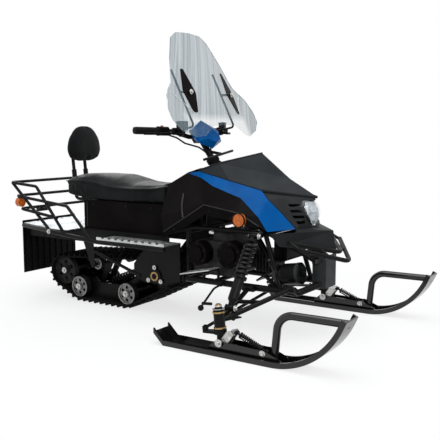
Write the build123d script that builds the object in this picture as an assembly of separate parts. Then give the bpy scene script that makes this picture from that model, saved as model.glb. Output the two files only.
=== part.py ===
from build123d import *
import math
import os

# Snow bike with two steered skis and one driven track. Millimetres; X forward, Y left, Z up.
# The origin lies on the snow under the middle of the whole length and width.

# Leading sizes
SEAT_GAP = 0.3
SKI_STANCE = 980
SPINDLE_X = 480
PANEL = 4
KINGPIN_X = 465
KINGPIN_Z = 90
CASTER = 6
COLUMN_X = 99
COLUMN_Z = 765
COLUMN_RAKE = 35
COLUMN_FOOT_Z = 240
PITMAN = 60
STEER_ARM = 74
TRACK_HALF = 150
BELT = 7
LUG = 13
LUG_PITCH = 40
TUNNEL_HALF = 170
TUNNEL_TOP = 400
TUNNEL_SKIN = 3
TUNNEL_REAR = -1012
TUNNEL_FRONT = -40

Y_HALF = SKI_STANCE / 2


# Shapes used again and again
def mirrored(shape):
    return mirror(shape, about=Plane.XZ)


def pair(shape):
    return Compound(children=[shape, mirrored(shape)])


def rod(start, end, radius):
    run = Vector(end) - Vector(start)
    return extrude(Plane(origin=start, z_dir=run) * Circle(radius), amount=run.length)


def tube(points, radius, bend):
    path = FilletPolyline(*points, radius=bend)
    return sweep(Plane(origin=path @ 0, z_dir=path % 0) * Circle(radius), path=path)


def on_side(sketch, y_low, y_high):
    face = Plane(origin=(0, y_high, 0), x_dir=(1, 0, 0), z_dir=(0, -1, 0)) * sketch
    return extrude(face, amount=y_high - y_low)


def side_plate(outline, y_low, y_high):
    return on_side(make_face(Polyline(*outline, close=True)), y_low, y_high)


def side_disc(x, z, radius, y_low, y_high):
    return on_side(Pos(x, z) * Circle(radius), y_low, y_high)


def side_hull(circles, y_low, y_high):
    edges = [Pos(x, z) * Edge.make_circle(radius) for x, z, radius in circles]
    return on_side(make_hull(edges), y_low, y_high)


def block(x_low, x_high, y_low, y_high, z_low, z_high):
    middle = ((x_low + x_high) / 2, (y_low + y_high) / 2, (z_low + z_high) / 2)
    return Pos(*middle) * Box(x_high - x_low, y_high - y_low, z_high - z_low)


def turned(profile, start, end):
    axis = (Vector(end) - Vector(start)).normalized()
    helper = Vector(0, 0, 1) if abs(axis.Z) < 0.9 else Vector(1, 0, 0)
    across = axis.cross(helper).normalized()
    plane = Plane(origin=start, x_dir=across, z_dir=across.cross(axis))
    face = plane * make_face(Polyline(*profile, close=True))
    return revolve(face, axis=Axis(start, axis))


def coil_profile(inner, outer, low, high, turns):
    pitch = (high - low) / turns
    points = []
    for turn in range(turns):
        points.append((inner, low + turn * pitch))
        points.append((outer, low + (turn + 0.5) * pitch))
    points.append((inner, high))
    return points


def faceted(points, faces, shift):
    prisms = []
    for face in faces:
        corners = [points[name] for name in face]
        flat = Face(Wire.make_polygon(corners, close=True))
        prisms.append(Solid.extrude(flat, Vector(shift)))
    whole = prisms[0]
    for prism in prisms[1:]:
        whole = whole + prism
    return whole


# Track: one belt round the drive wheel, two low idlers and the tail wheel
WHEELS = {
    "drive": (-120, 200, 70),
    "front": (-345, 75, 55),
    "rear": (-675, 75, 55),
    "tail": (-790, 150, 75),
}
ROLLER_X = -540
ROLLER_Z = 212
ROLLER_R = 29.5
AXLE_R = 9


def belt_line(extra):
    return make_hull([Pos(x, z) * Edge.make_circle(r + extra) for x, z, r in WHEELS.values()])


def lugged_belt(phase):
    band = belt_line(BELT) - belt_line(0)
    line = belt_line(BELT).wire()
    count = round(line.length / LUG_PITCH)
    middle = Vector(-450, 130, 0)
    lugs = []
    for number in range(count):
        place = ((number + phase) / count) % 1
        point = line.position_at(place)
        along = line.tangent_at(place)
        outward = Vector(along.Y, -along.X, 0)
        if outward.dot(point - middle) < 0:
            outward = outward * -1
        foot = point - outward * 2
        tip = point + outward * LUG
        corners = [foot - along * 9, foot + along * 9, tip + along * 4, tip - along * 4]
        lugs.append(make_face(Polyline(*corners, close=True)))
    return band + lugs


LUG_BANDS = [(-150, -62, 0.0), (-62, 62, 0.5), (62, 150, 0.0)]
track = None
for y_low, y_high, phase in LUG_BANDS:
    strip = on_side(lugged_belt(phase), y_low, y_high)
    track = strip if track is None else track + strip


def spoked_wheel(x, z, radius, y_low, y_high, outer_side):
    wheel = side_disc(x, z, radius - SEAT_GAP, y_low, y_high)
    hollow = 6
    face_low, face_high = (y_low, y_low + hollow) if outer_side < 0 else (y_high - hollow, y_high)
    ring = Pos(x, z) * (Circle(radius - 9) - Circle(radius * 0.36))
    wheel = wheel - on_side(ring, face_low, face_high)
    for number in range(6):
        angle = math.radians(60 * number + 30)
        reach = radius * 0.6
        hole = side_disc(x + reach * math.cos(angle), z + reach * math.sin(angle), radius * 0.15, y_low, y_high)
        wheel = wheel - hole
    return wheel


def wheel_set(x, z, radius, wheel_low, wheel_high, axle_half, axle_radius):
    right = spoked_wheel(x, z, radius, -wheel_high, -wheel_low, -1)
    axle = side_disc(x, z, axle_radius, -axle_half, axle_half)
    return right + mirrored(right) + axle


idler_wheels = Compound(children=[
    wheel_set(*WHEELS["front"], 102, 138, 146, AXLE_R),
    wheel_set(*WHEELS["rear"], 102, 138, 146, AXLE_R),
    wheel_set(ROLLER_X, ROLLER_Z, ROLLER_R + SEAT_GAP, 112, 138, 167, AXLE_R),
])
tail_wheels = wheel_set(*WHEELS["tail"], 96, 126, 134, AXLE_R + 1)

drive_x, drive_z, drive_r = WHEELS["drive"]
SPROCKETS = [(-112, -78), (78, 112)]
drive_axle = side_disc(drive_x, drive_z, 14, -192, 192)
for y_low, y_high in SPROCKETS:
    sprocket = side_disc(drive_x, drive_z, drive_r - SEAT_GAP, y_low, y_high)
    for number in range(8):
        angle = math.radians(45 * number)
        notch_x = drive_x + 74 * math.cos(angle)
        notch_z = drive_z + 74 * math.sin(angle)
        sprocket = sprocket - side_disc(notch_x, notch_z, 13, y_low, y_high)
    drive_axle = drive_axle + sprocket

# Skid: two side rails with their cross shafts, swing arms and one coil damper
RAIL_LOW = 70
RAIL_HIGH = 84
FRONT_SHAFT = (-230, 215)
FRONT_FOOT = (-430, 70)
REAR_FOOT = (-610, 72)
RAIL_OUTLINE = [(-345, 20.6), (-322, 42), (-318, 78), (-360, 100), (-560, 100), (-700, 128),
                (-800, 168), (-814, 150), (-795, 128), (-692, 44), (-675, 20.6)]
skid_rail = side_plate(RAIL_OUTLINE, RAIL_LOW, RAIL_HIGH)
RAIL_BORES = [(*WHEELS["front"][:2], AXLE_R), (*WHEELS["rear"][:2], AXLE_R), (*WHEELS["tail"][:2], AXLE_R + 1),
              (*FRONT_FOOT, 8), (*REAR_FOOT, 8)]
for x, z, radius in RAIL_BORES:
    skid_rail = skid_rail - side_disc(x, z, radius + SEAT_GAP, RAIL_LOW, RAIL_HIGH)
skid_rails = pair(skid_rail)

ARMS = [(FRONT_SHAFT, FRONT_FOOT, 10, 48), ((ROLLER_X, ROLLER_Z), REAR_FOOT, AXLE_R, 34)]
arm_sets = []
for top, foot, bore, y_mid in ARMS:
    arm = side_hull([(*top, bore + 9), (*foot, 14)], y_mid - 5, y_mid + 5)
    arm = arm - side_disc(*top, bore + SEAT_GAP, y_mid - 5, y_mid + 5)
    arm_sets.append(arm + mirrored(arm) + side_disc(*foot, 8, -RAIL_HIGH, RAIL_HIGH))
front_shaft = side_disc(*FRONT_SHAFT, 10, -TUNNEL_HALF, TUNNEL_HALF)
skid_arms = Compound(children=arm_sets + [front_shaft])

damper_top = Vector(FRONT_SHAFT[0], 0, FRONT_SHAFT[1])
damper_foot = Vector(REAR_FOOT[0], 0, REAR_FOOT[1])
damper_length = (damper_top - damper_foot).length
DAMPER = [(0, 12), (15, 12), (15, 150), (28, 150), (28, 160)] + coil_profile(20, 28, 160, 330, 6) + [
    (28, 330), (28, 338), (9, 338), (9, damper_length - 12), (0, damper_length - 12)]
skid_damper = turned(DAMPER, damper_foot, damper_top)
for (x, z), bore in ((FRONT_SHAFT, 10), (REAR_FOOT, 8)):
    skid_damper = skid_damper + side_disc(x, z, bore + 9, -14, 14)
for (x, z), bore in ((FRONT_SHAFT, 10), (REAR_FOOT, 8)):
    skid_damper = skid_damper - side_disc(x, z, bore + SEAT_GAP, -20, 20)

# Tunnel over the track, with the roller brackets on its skirts
SKIRT_Z = 330
tunnel = block(TUNNEL_REAR, TUNNEL_FRONT, -TUNNEL_HALF, TUNNEL_HALF, SKIRT_Z, TUNNEL_TOP)
inside = TUNNEL_HALF - TUNNEL_SKIN
tunnel = tunnel - block(TUNNEL_REAR, TUNNEL_FRONT, -inside, inside, SKIRT_Z, TUNNEL_TOP - TUNNEL_SKIN)
BRACKET_FOOT = ROLLER_Z - AXLE_R - 6
BRACKET = [(ROLLER_X - 66, SKIRT_Z), (ROLLER_X + 4, SKIRT_Z), (ROLLER_X + 13, BRACKET_FOOT),
           (ROLLER_X - 13, BRACKET_FOOT)]
bracket = side_plate(BRACKET, inside, TUNNEL_HALF)
tunnel = tunnel + bracket + mirrored(bracket)

# Drive plates with bearing flanges and the long side struts
PLATE_TOP = 372
PLATE_THICK = 8
plate_out = TUNNEL_HALF + PLATE_THICK
PLATE = [(-256, 200), (-200, 165), (-60, 165), (28, 190), (28, PLATE_TOP), (-150, PLATE_TOP), (-256, 250)]
drive_plate = side_plate(PLATE, TUNNEL_HALF, plate_out)
drive_plate = drive_plate + side_disc(drive_x, drive_z, 36, plate_out, plate_out + 8)
for number in range(3):
    angle = math.radians(120 * number + 90)
    x = drive_x + 44 * math.cos(angle)
    z = drive_z + 44 * math.sin(angle)
    drive_plate = drive_plate + side_disc(x, z, 7, plate_out, plate_out + 10)
drive_plate = drive_plate - side_disc(drive_x, drive_z, 14 + SEAT_GAP, TUNNEL_HALF, plate_out + 10)
strut = rod((-520, TUNNEL_HALF + 8, 285), (-215, TUNNEL_HALF + 8, 190), 8)
drive_plates = pair(drive_plate + strut)

# Running boards with a toothed outer edge
BOARD_REAR = -392
BOARD_FRONT = 28
BOARD_OUT = 300
BOARD_SKIN = 4
BOARD_LIP = 14
BOARD_TOP = PLATE_TOP + BOARD_SKIN
board = block(BOARD_REAR, BOARD_FRONT, TUNNEL_HALF, BOARD_OUT, PLATE_TOP, BOARD_TOP)
lip_top = PLATE_TOP + BOARD_LIP
board = board + block(BOARD_REAR, BOARD_FRONT, BOARD_OUT - BOARD_SKIN, BOARD_OUT, PLATE_TOP, lip_top)
BOARD_SLOTS = 9
slot_step = (BOARD_FRONT - BOARD_REAR - 40) / BOARD_SLOTS
for number in range(BOARD_SLOTS):
    x = BOARD_REAR + 20 + (number + 0.5) * slot_step
    board = board - block(x - 14, x + 14, BOARD_OUT - 84, BOARD_OUT - 24, PLATE_TOP, BOARD_TOP)
    board = board - block(x - 9, x + 9, BOARD_OUT - BOARD_SKIN, BOARD_OUT, PLATE_TOP + 8, lip_top)
running_boards = pair(board)

# Frame: lower rails, upper rails, shock tower and the steering post hoop
RAIL_Y = 150
RAIL_Z = 205
RAIL_R = 15
BULK_HALF = 52
UPPER_Z = 455
TOWER_X = 478
TOWER_Y = 232
TANK_X = 0
UPPER_REAR = (-36, RAIL_Y, 418)
UPPER_BEND = (80, RAIL_Y, UPPER_Z)
upper_slope = (UPPER_Z - UPPER_REAR[2]) / (UPPER_BEND[0] - UPPER_REAR[0])
tank_rest = UPPER_REAR[2] + (TANK_X - UPPER_REAR[0]) * upper_slope
LOWER_LINE = [(BOARD_FRONT + SEAT_GAP, RAIL_Y, RAIL_Z), (640, RAIL_Y, RAIL_Z),
              (698, BULK_HALF + 10, RAIL_Z + 28)]
lower_rail = tube(LOWER_LINE, RAIL_R, 30)
upper_rail = tube([UPPER_REAR, UPPER_BEND, (500, RAIL_Y, UPPER_Z), (690, BULK_HALF - 2, 328)], 11, 50)
rear_leg = rod((60, RAIL_Y, RAIL_Z), (60, RAIL_Y, UPPER_Z - 8), 11)
front_leg = rod((560, RAIL_Y, RAIL_Z), (TOWER_X, RAIL_Y, UPPER_Z), 11)
hoop = tube([(150, RAIL_Y, UPPER_Z), (112, 70, 640), (148, 34, 696)], 10, 40)
half_frame = lower_rail + upper_rail + rear_leg + front_leg + hoop
PANEL_TAB_Y = 214.2
half_frame = half_frame + block(8, 44, 140, TUNNEL_HALF, 190, 220)
half_frame = half_frame + block(372, 384, 144, 156, UPPER_Z, 512) + block(372, 384, 144, PANEL_TAB_Y, 506, 512)
PIVOT_Y = 182
PIVOTS = [(411, 205), (618, 224)]
PIVOT_HALF = 22
for x, z in PIVOTS:
    for side in (-1, 1):
        low = x + side * (PIVOT_HALF + 0.5)
        plate = extrude(Plane.YZ * make_hull([Pos(PIVOT_Y, z) * Edge.make_circle(14),
                                              Pos(RAIL_Y, RAIL_Z) * Edge.make_circle(12)]), amount=5)
        start = low if side > 0 else low - 5
        half_frame = half_frame + Pos(start, 0, 0) * plate
frame = half_frame + mirrored(half_frame)
TANK_CROSS_R = 10
CROSS = [(60, RAIL_Y, RAIL_Z, 11), (200, RAIL_Y, RAIL_Z, 11), (540, RAIL_Y, RAIL_Z, 11),
         (TOWER_X, TOWER_Y, UPPER_Z, 12), (150, RAIL_Y, UPPER_Z, 10), (TANK_X, RAIL_Y, tank_rest, TANK_CROSS_R)]
for x, half, z, radius in CROSS:
    frame = frame + rod((x, -half, z), (x, half, z), radius)
TRAY_Z = 332
TRAY_SKIN = 4
frame = frame + block(488, 560, -RAIL_Y, RAIL_Y, TRAY_Z, TRAY_Z + TRAY_SKIN)
FOOT_REAR = (110, 252)
FOOT_FRONT = (270, 286)
FOOT_SKIN = 5
FOOT_IN = 202
FOOT_OUT = 288
PEG_R = 7
foot_slope = (FOOT_FRONT[1] - FOOT_REAR[1]) / (FOOT_FRONT[0] - FOOT_REAR[0])
for x in (150, 230):
    peg_z = FOOT_REAR[1] + (x - FOOT_REAR[0]) * foot_slope - PEG_R * math.hypot(1, foot_slope) - SEAT_GAP
    peg = tube([(x, RAIL_Y, RAIL_Z), (x, RAIL_Y, peg_z), (x, FOOT_OUT - 8, peg_z)], PEG_R, 12)
    frame = frame + peg + mirrored(peg)
SHOCK_TOP = Vector(TOWER_X, 250, UPPER_Z)
for side in (-1, 1):
    frame = frame + Pos(TOWER_X, side * 214, UPPER_Z) * Box(40, 26, 22)
    for ear_x in (TOWER_X - 20, TOWER_X + 15):
        ear = make_hull([Pos(side * SHOCK_TOP.Y, UPPER_Z) * Edge.make_circle(13),
                         Pos(side * 215, UPPER_Z) * Edge.make_circle(12)])
        frame = frame + Pos(ear_x, 0, 0) * extrude(Plane.YZ * ear, amount=5)

# Steering column line, its foot and the post plates on the frame
rake = math.radians(COLUMN_RAKE)
up_column = Vector(-math.sin(rake), 0, math.cos(rake))
column_foot = Vector(COLUMN_X + (COLUMN_Z - COLUMN_FOOT_Z) * math.tan(rake), 0, COLUMN_FOOT_Z)
column_plane = Plane(origin=column_foot, x_dir=(-math.cos(rake), 0, -math.sin(rake)), z_dir=up_column)
COLUMN_R = 15
COLUMN_LENGTH = 790


def on_column(sketch, low, high):
    return extrude(column_plane.offset(low) * sketch, amount=high - low)


def rounded_bar(x_low, x_high, half):
    return make_hull([Pos(x_low, 0) * Edge.make_circle(half), Pos(x_high, 0) * Edge.make_circle(half)])


foot_plate = on_column(Pos(0, 0) * Rectangle(70, 2 * RAIL_Y - 20), 14, 22)
upper_plate = on_column(Rectangle(64, 96), 545, 555)
frame = frame + foot_plate + upper_plate
frame = frame - on_column(Circle(COLUMN_R + 1), 0, 600)
for side in (-1, 1):
    frame = frame + rod((540, side * 130, RAIL_Z), (466, side * 130, 262), 9)

# Front bulkhead box
bulkhead = block(672, 728, -BULK_HALF, BULK_HALF, 216, 346)
bulkhead = bulkhead + block(668, 674, -BULK_HALF - 12, BULK_HALF + 12, 208, 352)
bulkhead = bulkhead + block(700, 706, -104, 104, 334, 352)
bulkhead = bulkhead - frame

# Engine: crankcase, finned cylinder lying forward, and two round covers on the right
CYL_Y = 92
CYL_Z = 282
crankcase = block(74, 306, -128, 128, 232, 392)
crankcase = fillet(crankcase.edges().filter_by(Axis.Y), 34)
cylinder = rod((300, CYL_Y, CYL_Z), (430, CYL_Y, CYL_Z + 9), 36)
FINS = 6
for number in range(FINS):
    x = 318 + number * 17
    cylinder = cylinder + block(x, x + 7, CYL_Y - 50, CYL_Y + 50, CYL_Z - 46, CYL_Z + 60)
intake = fillet(block(178, 290, -112, 112, 380, 440).edges().filter_by(Axis.X), 14)
engine = crankcase + cylinder + intake + block(186, 214, -60, 60, RAIL_Z + 11 + SEAT_GAP, 240)

COVERS = [(309, 345, 62), (130, 337, 57)]
cover_list = []
for x, z, radius in COVERS:
    cover = side_disc(x, z, radius, -186, -128) + side_disc(x, z, radius * 0.62, -196, -186)
    cover_list.append(cover - crankcase)
engine_covers = Compound(children=cover_list)

# Exhaust: pipe under the cylinder and a short round silencer
EXHAUST_Y = -118
PIPE_LINE = [(412, CYL_Y, 240), (412, CYL_Y, 216), (478, 70, 216), (562, -30, 262), (592, EXHAUST_Y + 20, 278)]
pipe = tube(PIPE_LINE, 13, 17)
SILENCER = [(0, 0), (26, 0), (38, 20), (47, 52), (47, 118), (38, 134), (14, 134), (14, 148), (0, 148)]
exhaust = turned(SILENCER, (512, EXHAUST_Y, 268), (656, EXHAUST_Y, 290)) + pipe
exhaust = exhaust - engine - frame

# Front suspension: arms, coil shocks
kingpin_tilt = math.radians(CASTER)
up_kingpin = Vector(-math.sin(kingpin_tilt), 0, math.cos(kingpin_tilt))
kingpin_foot = Vector(KINGPIN_X, Y_HALF, KINGPIN_Z)
across_kingpin = Vector(math.cos(kingpin_tilt), 0, math.sin(kingpin_tilt))
kingpin_plane = Plane(origin=kingpin_foot, x_dir=across_kingpin, z_dir=up_kingpin)
PIN_R = 12
HOUSING_LOW = 8
HOUSING_HIGH = 88


def on_kingpin(sketch, low, high):
    return extrude(kingpin_plane.offset(low) * sketch, amount=high - low)


SHOCK_FOOT = Vector(470, 425, 176)
housing = on_kingpin(Circle(23), HOUSING_LOW, HOUSING_HIGH)
weld_low = kingpin_plane.origin + up_kingpin * 42
a_arm = housing
for x, z in PIVOTS:
    a_arm = a_arm + rod((x, PIVOT_Y, z), (weld_low.X, weld_low.Y - 12, weld_low.Z), 11)
    a_arm = a_arm + rod((x - PIVOT_HALF, PIVOT_Y, z), (x + PIVOT_HALF, PIVOT_Y, z), 14)
brace = 0.42
ends = []
for x, z in PIVOTS:
    start = Vector(x, PIVOT_Y, z)
    ends.append(start + (weld_low - start) * brace)
a_arm = a_arm + rod(ends[0], ends[1], 9)
gusset_z = 130
GUSSET = [(452, 470), (480, 470), (506, 392), (446, 392)]
gusset = extrude(Pos(0, 0, gusset_z) * make_face(Polyline(*GUSSET, close=True)), amount=6)
a_arm = a_arm + gusset
for ear_x in (SHOCK_FOOT.X - 20, SHOCK_FOOT.X + 15):
    ear = make_hull([Pos(SHOCK_FOOT.Y, SHOCK_FOOT.Z) * Edge.make_circle(13),
                     Pos(SHOCK_FOOT.Y, gusset_z + 8) * Edge.make_circle(15)])
    a_arm = a_arm + Pos(ear_x, 0, 0) * extrude(Plane.YZ * ear, amount=5)
a_arm = a_arm - on_kingpin(Circle(PIN_R + SEAT_GAP), 0, 120)
a_arms = pair(mirrored(a_arm))

shock_length = (SHOCK_TOP - SHOCK_FOOT).length
spring_low = shock_length * 0.44
spring_high = shock_length * 0.88
SHOCK = [(0, 10), (13, 10), (13, 22), (21, 32), (21, spring_low - 10), (30, spring_low - 10), (30, spring_low)]
SHOCK = SHOCK + coil_profile(21, 29, spring_low, spring_high, 8)
SHOCK = SHOCK + [(30, spring_high), (30, spring_high + 8), (9, spring_high + 8), (9, shock_length - 8),
                 (0, shock_length - 8)]
shock = turned(SHOCK, SHOCK_FOOT, SHOCK_TOP)
for point in (SHOCK_FOOT, SHOCK_TOP):
    shock = shock + rod((point.X - 14.7, point.Y, point.Z), (point.X + 14.7, point.Y, point.Z), 12)
    shock = shock + rod((point.X - 26, point.Y, point.Z), (point.X + 26, point.Y, point.Z), 6)
shocks = pair(mirrored(shock))

# Bolts of the shocks and arms pass through the ears
for point in (SHOCK_FOOT,):
    hole = rod((point.X - 30, point.Y, point.Z), (point.X + 30, point.Y, point.Z), 6 + SEAT_GAP)
    a_arms = Compound(children=[solid - hole - mirrored(hole) for solid in a_arms.solids()])
top_hole = rod(SHOCK_TOP - Vector(30, 0, 0), SHOCK_TOP + Vector(30, 0, 0), 6 + SEAT_GAP)
frame = frame - top_hole - mirrored(top_hole)

# Spindle, ski, saddle and damper of one side
arm_end = Vector(-STEER_ARM, 0, 0)
spindle = on_kingpin(Circle(PIN_R), -6, 98) + on_kingpin(Circle(27), -10, HOUSING_LOW - SEAT_GAP)
spindle = spindle + on_kingpin(RegularPolygon(17, 6), HOUSING_HIGH + SEAT_GAP, 103)
arm_shape = make_hull([Edge.make_circle(24), Pos(arm_end.X, arm_end.Y) * Edge.make_circle(13)])
spindle = spindle + on_kingpin(arm_shape, -8, 3)
spindle = spindle + on_kingpin(Pos(arm_end.X, arm_end.Y) * Circle(6), 3, 24)
PIVOT_BOLT_Z = 52
LEG = [(-16, 84), (22, 88), (30, PIVOT_BOLT_Z - 4), (6, PIVOT_BOLT_Z - 18), (-14, PIVOT_BOLT_Z - 4)]
leg_points = [(SPINDLE_X + x - 8, z) for x, z in LEG]
spindle = spindle + side_plate(leg_points, Y_HALF - 14, Y_HALF + 14)

SKI_HALF = 55
SKI_TAIL = -272
SKI_TAIL_END = -322
SKI_TAIL_LIFT = 48
SKI_FLAT_END = 246
SKI_CURVE = 330
SKI_TIP_ANGLE = 65
SKI_TIP_RUN = 34
SKI_THICK = 7
SKI_RIM = 15


def ski_line(lift):
    turn = math.radians(SKI_TIP_ANGLE)
    radius = SKI_CURVE - lift
    centre = (SPINDLE_X + SKI_FLAT_END, SKI_CURVE)
    middle = (centre[0] + radius * math.sin(turn / 2), centre[1] - radius * math.cos(turn / 2))
    last = (centre[0] + radius * math.sin(turn), centre[1] - radius * math.cos(turn))
    tip = (last[0] + SKI_TIP_RUN * math.cos(turn), last[1] + SKI_TIP_RUN * math.sin(turn))
    start = (SPINDLE_X + SKI_TAIL_END, SKI_TAIL_LIFT + lift)
    kick = (SPINDLE_X + SKI_TAIL, lift)
    return start, kick, (centre[0], lift), middle, last, tip


def ski_band(low, high):
    bottom = ski_line(low)
    top = ski_line(high)
    under = [Line(bottom[0], bottom[1]), Line(bottom[1], bottom[2]),
             ThreePointArc(bottom[2], bottom[3], bottom[4]), Line(bottom[4], bottom[5])]
    over = [Line(top[5], top[4]), ThreePointArc(top[4], top[3], top[2]), Line(top[2], top[1]),
            Line(top[1], top[0])]
    return make_face(under + [Line(bottom[5], top[5])] + over + [Line(top[0], bottom[0])])


ski = on_side(ski_band(0, SKI_THICK), Y_HALF - SKI_HALF, Y_HALF + SKI_HALF)
for y_low in (Y_HALF - SKI_HALF, Y_HALF + SKI_HALF - 9):
    ski = ski + on_side(ski_band(0, SKI_THICK + SKI_RIM), y_low, y_low + 9)
LOOP = [(SPINDLE_X + 236, Y_HALF, 4), (SPINDLE_X + 254, Y_HALF, 200), (SPINDLE_X + 546, Y_HALF, 203)]
LOOP_R = 16
ski = ski + tube(LOOP, LOOP_R, 70)
CHANNEL = [(-52, 5), (290, 5), (278, 26), (210, 52), (-20, 58), (-52, 30)]
channel_points = [(SPINDLE_X + x, z) for x, z in CHANNEL]
for y_low in (Y_HALF - 32, Y_HALF + 27):
    ski = ski + side_plate(channel_points, y_low, y_low + 5)
ski = ski - block(SPINDLE_X - 400, SPINDLE_X + 600, Y_HALF - 80, Y_HALF + 80, -60, 0)

CHEEK = [(-18, 34), (22, 34), (64, 92), (50, 106), (30, 100)]
saddle_low = [(SPINDLE_X + x, z) for x, z in CHEEK]
saddle = None
for y_low in (Y_HALF - 26.7, Y_HALF + 14.3):
    cheek = side_plate(saddle_low, y_low, y_low + 12.4)
    saddle = cheek if saddle is None else saddle + cheek
CHEEK_TIE = [(40, 86), (62, 92), (50, 104), (38, 100)]
saddle = saddle + side_plate([(SPINDLE_X + x, z) for x, z in CHEEK_TIE], Y_HALF - 15, Y_HALF + 15)
bolt = side_disc(SPINDLE_X, PIVOT_BOLT_Z, 8, Y_HALF - 40, Y_HALF + 40)
saddle = saddle + side_disc(SPINDLE_X, PIVOT_BOLT_Z, 13, Y_HALF - 41, Y_HALF - 32.3) + side_disc(
    SPINDLE_X, PIVOT_BOLT_Z, 13, Y_HALF + 32.3, Y_HALF + 41) + bolt
bolt_bore = side_disc(SPINDLE_X, PIVOT_BOLT_Z, 8 + SEAT_GAP, Y_HALF - 50, Y_HALF + 50)
ski = ski - bolt_bore
spindle = spindle - bolt_bore

damper_high = (SPINDLE_X + 64.5, Y_HALF, 96)
damper_low = (SPINDLE_X + 200, Y_HALF, 40)
run = (Vector(damper_high) - Vector(damper_low)).length
SKI_DAMPER = [(0, 0), (6, 0), (6, 14), (14, 14), (14, 20)] + coil_profile(9, 14, 20, run - 24, 7) + [
    (14, run - 24), (14, run - 16), (6, run - 16), (6, run), (0, run)]
ski_damper = turned(SKI_DAMPER, damper_low, damper_high)
ski_damper = ski_damper + side_disc(SPINDLE_X + 204, 38, 9, Y_HALF - 27, Y_HALF + 27)
ski_damper = ski_damper - saddle

left_side = {"spindle": spindle, "ski": ski, "ski_saddle": saddle, "ski_damper": ski_damper}

# Steering: column with two pitman pins, bar, grips, hand controls, cowl and screen
PITMAN_PIN = 48
steering_column = on_column(Circle(COLUMN_R), 5, COLUMN_LENGTH)
pitman = make_hull([Edge.make_circle(24), Pos(PITMAN, 0) * Edge.make_circle(15)])
steering_column = steering_column + on_column(pitman, -5, 6)
steering_column = steering_column + on_column(Pos(PITMAN, 0) * Circle(6), -PITMAN_PIN, -5)
steering_column = steering_column + on_column(Circle(24), 560, 572)
ROD_RIGHT = Vector(150, -150, 772)
ROD_LEFT = Vector(150, 95, 808)
rod_root = column_foot + up_column * 692
rod_middle = ROD_RIGHT + (ROD_LEFT - ROD_RIGHT) * (-ROD_RIGHT.Y / (ROD_LEFT.Y - ROD_RIGHT.Y))
steering_column = steering_column + rod(ROD_RIGHT, ROD_LEFT, 6) + rod(rod_root, rod_middle, 7)
CLAMP_S = COLUMN_LENGTH - 14
clamp_centre = column_foot + up_column * CLAMP_S
steering_column = steering_column + on_column(Rectangle(52, 70), COLUMN_LENGTH - 34, COLUMN_LENGTH + 10)

BAR_R = 11
GRIP_R = 16
bar_y = [(0, 0, 0), (0, 90, 0), (-22, 190, 26), (-95, 372, 30)]
bar_points = [(clamp_centre.X + x, y, clamp_centre.Z + z) for x, y, z in bar_y]
bar_points = [(x, -y, z) for x, y, z in reversed(bar_points[1:])] + bar_points[1:]
handlebar = tube(bar_points, BAR_R, 45)
steering_column = steering_column - handlebar

# Rubber boot on the column, where the control cables go in
BOOT_LOW = 572 + SEAT_GAP
BOOT_HIGH = 650
BOOT_R = 31
boot_in = COLUMN_R + SEAT_GAP
boot_out = [(BOOT_R + 5, BOOT_LOW), (BOOT_R + 5, BOOT_LOW + 8)]
BOOT_FOLDS = 3
boot_pitch = (BOOT_HIGH - 18 - BOOT_LOW - 8) / BOOT_FOLDS
for number in range(BOOT_FOLDS):
    fold = BOOT_LOW + 8 + number * boot_pitch
    boot_out.append((BOOT_R - 5, fold + boot_pitch / 2))
    boot_out.append((BOOT_R, fold + boot_pitch))
boot_out.append((BOOT_R, BOOT_HIGH))
boot_profile = [(boot_in, BOOT_LOW)] + boot_out + [(boot_in, BOOT_HIGH)]
column_boot = turned(boot_profile, column_foot, column_foot + up_column)

grip_start = Vector(bar_points[-2])
grip_end = Vector(bar_points[-1])
along_grip = (grip_end - grip_start).normalized()
grip_inner = grip_end - along_grip * 122
grip = rod(grip_inner, grip_end + along_grip * 4, GRIP_R)
grip = grip + rod(grip_inner, grip_inner + along_grip * 6, GRIP_R + 6)
grip = grip - rod(grip_inner - along_grip * 5, grip_end + along_grip * 0.2, BAR_R + SEAT_GAP)
grips = pair(grip)

pod_start = grip_inner - along_grip * 48
pod_end = grip_inner - along_grip * 4
pod = rod(pod_start, pod_end, 21)
lever_root = pod_start + Vector(26, 0, -6)
lever = tube([lever_root - Vector(20, 0, 0), lever_root + Vector(14, 18, -4), grip_inner + Vector(34, 30, -12),
              grip_end + Vector(40, -16, -14)], 6, 12)
control = pod + lever - rod(pod_start - along_grip * 20, grip_end, BAR_R + SEAT_GAP)
hand_controls = pair(control)

# Control cables, from the hand controls under the bar to the boot
CABLE_R = 4
CABLE_BEND = 20
CABLE_OFF = 23
cable_start = pod_start - Vector(0, 0, 16) - along_grip * 1.6
cable_end = column_foot + up_column * BOOT_HIGH + Vector(0, CABLE_OFF, 0)
CABLE_WAY = [(8, 168, 872), (20, 120, 846), (52, 50, 826)]
CABLE_LINE = [cable_start] + CABLE_WAY + [cable_end + up_column * 38, cable_end]
cables = pair(tube(CABLE_LINE, CABLE_R, CABLE_BEND))

# Screen: a bent clear sheet, its wings flared, trimmed to its outline
SCREEN_LEAN = 0.5
SCREEN_THICK = 4
SCREEN_MID_Z = 1110
SCREEN_MID_X = 86
SCREEN_BASE_Z = 850
SCREEN_RISE = 560
SCREEN_BEND = (230, 30)
SCREEN_FLARE = [(268, 36.5), (300, 36), (380, 31)]
SCREEN_CORNER = 34
SCREEN_OUTLINE = [(0, 1373), (96, 1368), (146, 1338), (205, 1236), (256, 1122), (328, 1064), (360, 1000),
                  (360, 950), (312, 904), (228, 876), (176, 884), (100, 926), (0, 934)]
screen_x = SCREEN_MID_X + SCREEN_LEAN * (SCREEN_MID_Z - SCREEN_BASE_Z)


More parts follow.
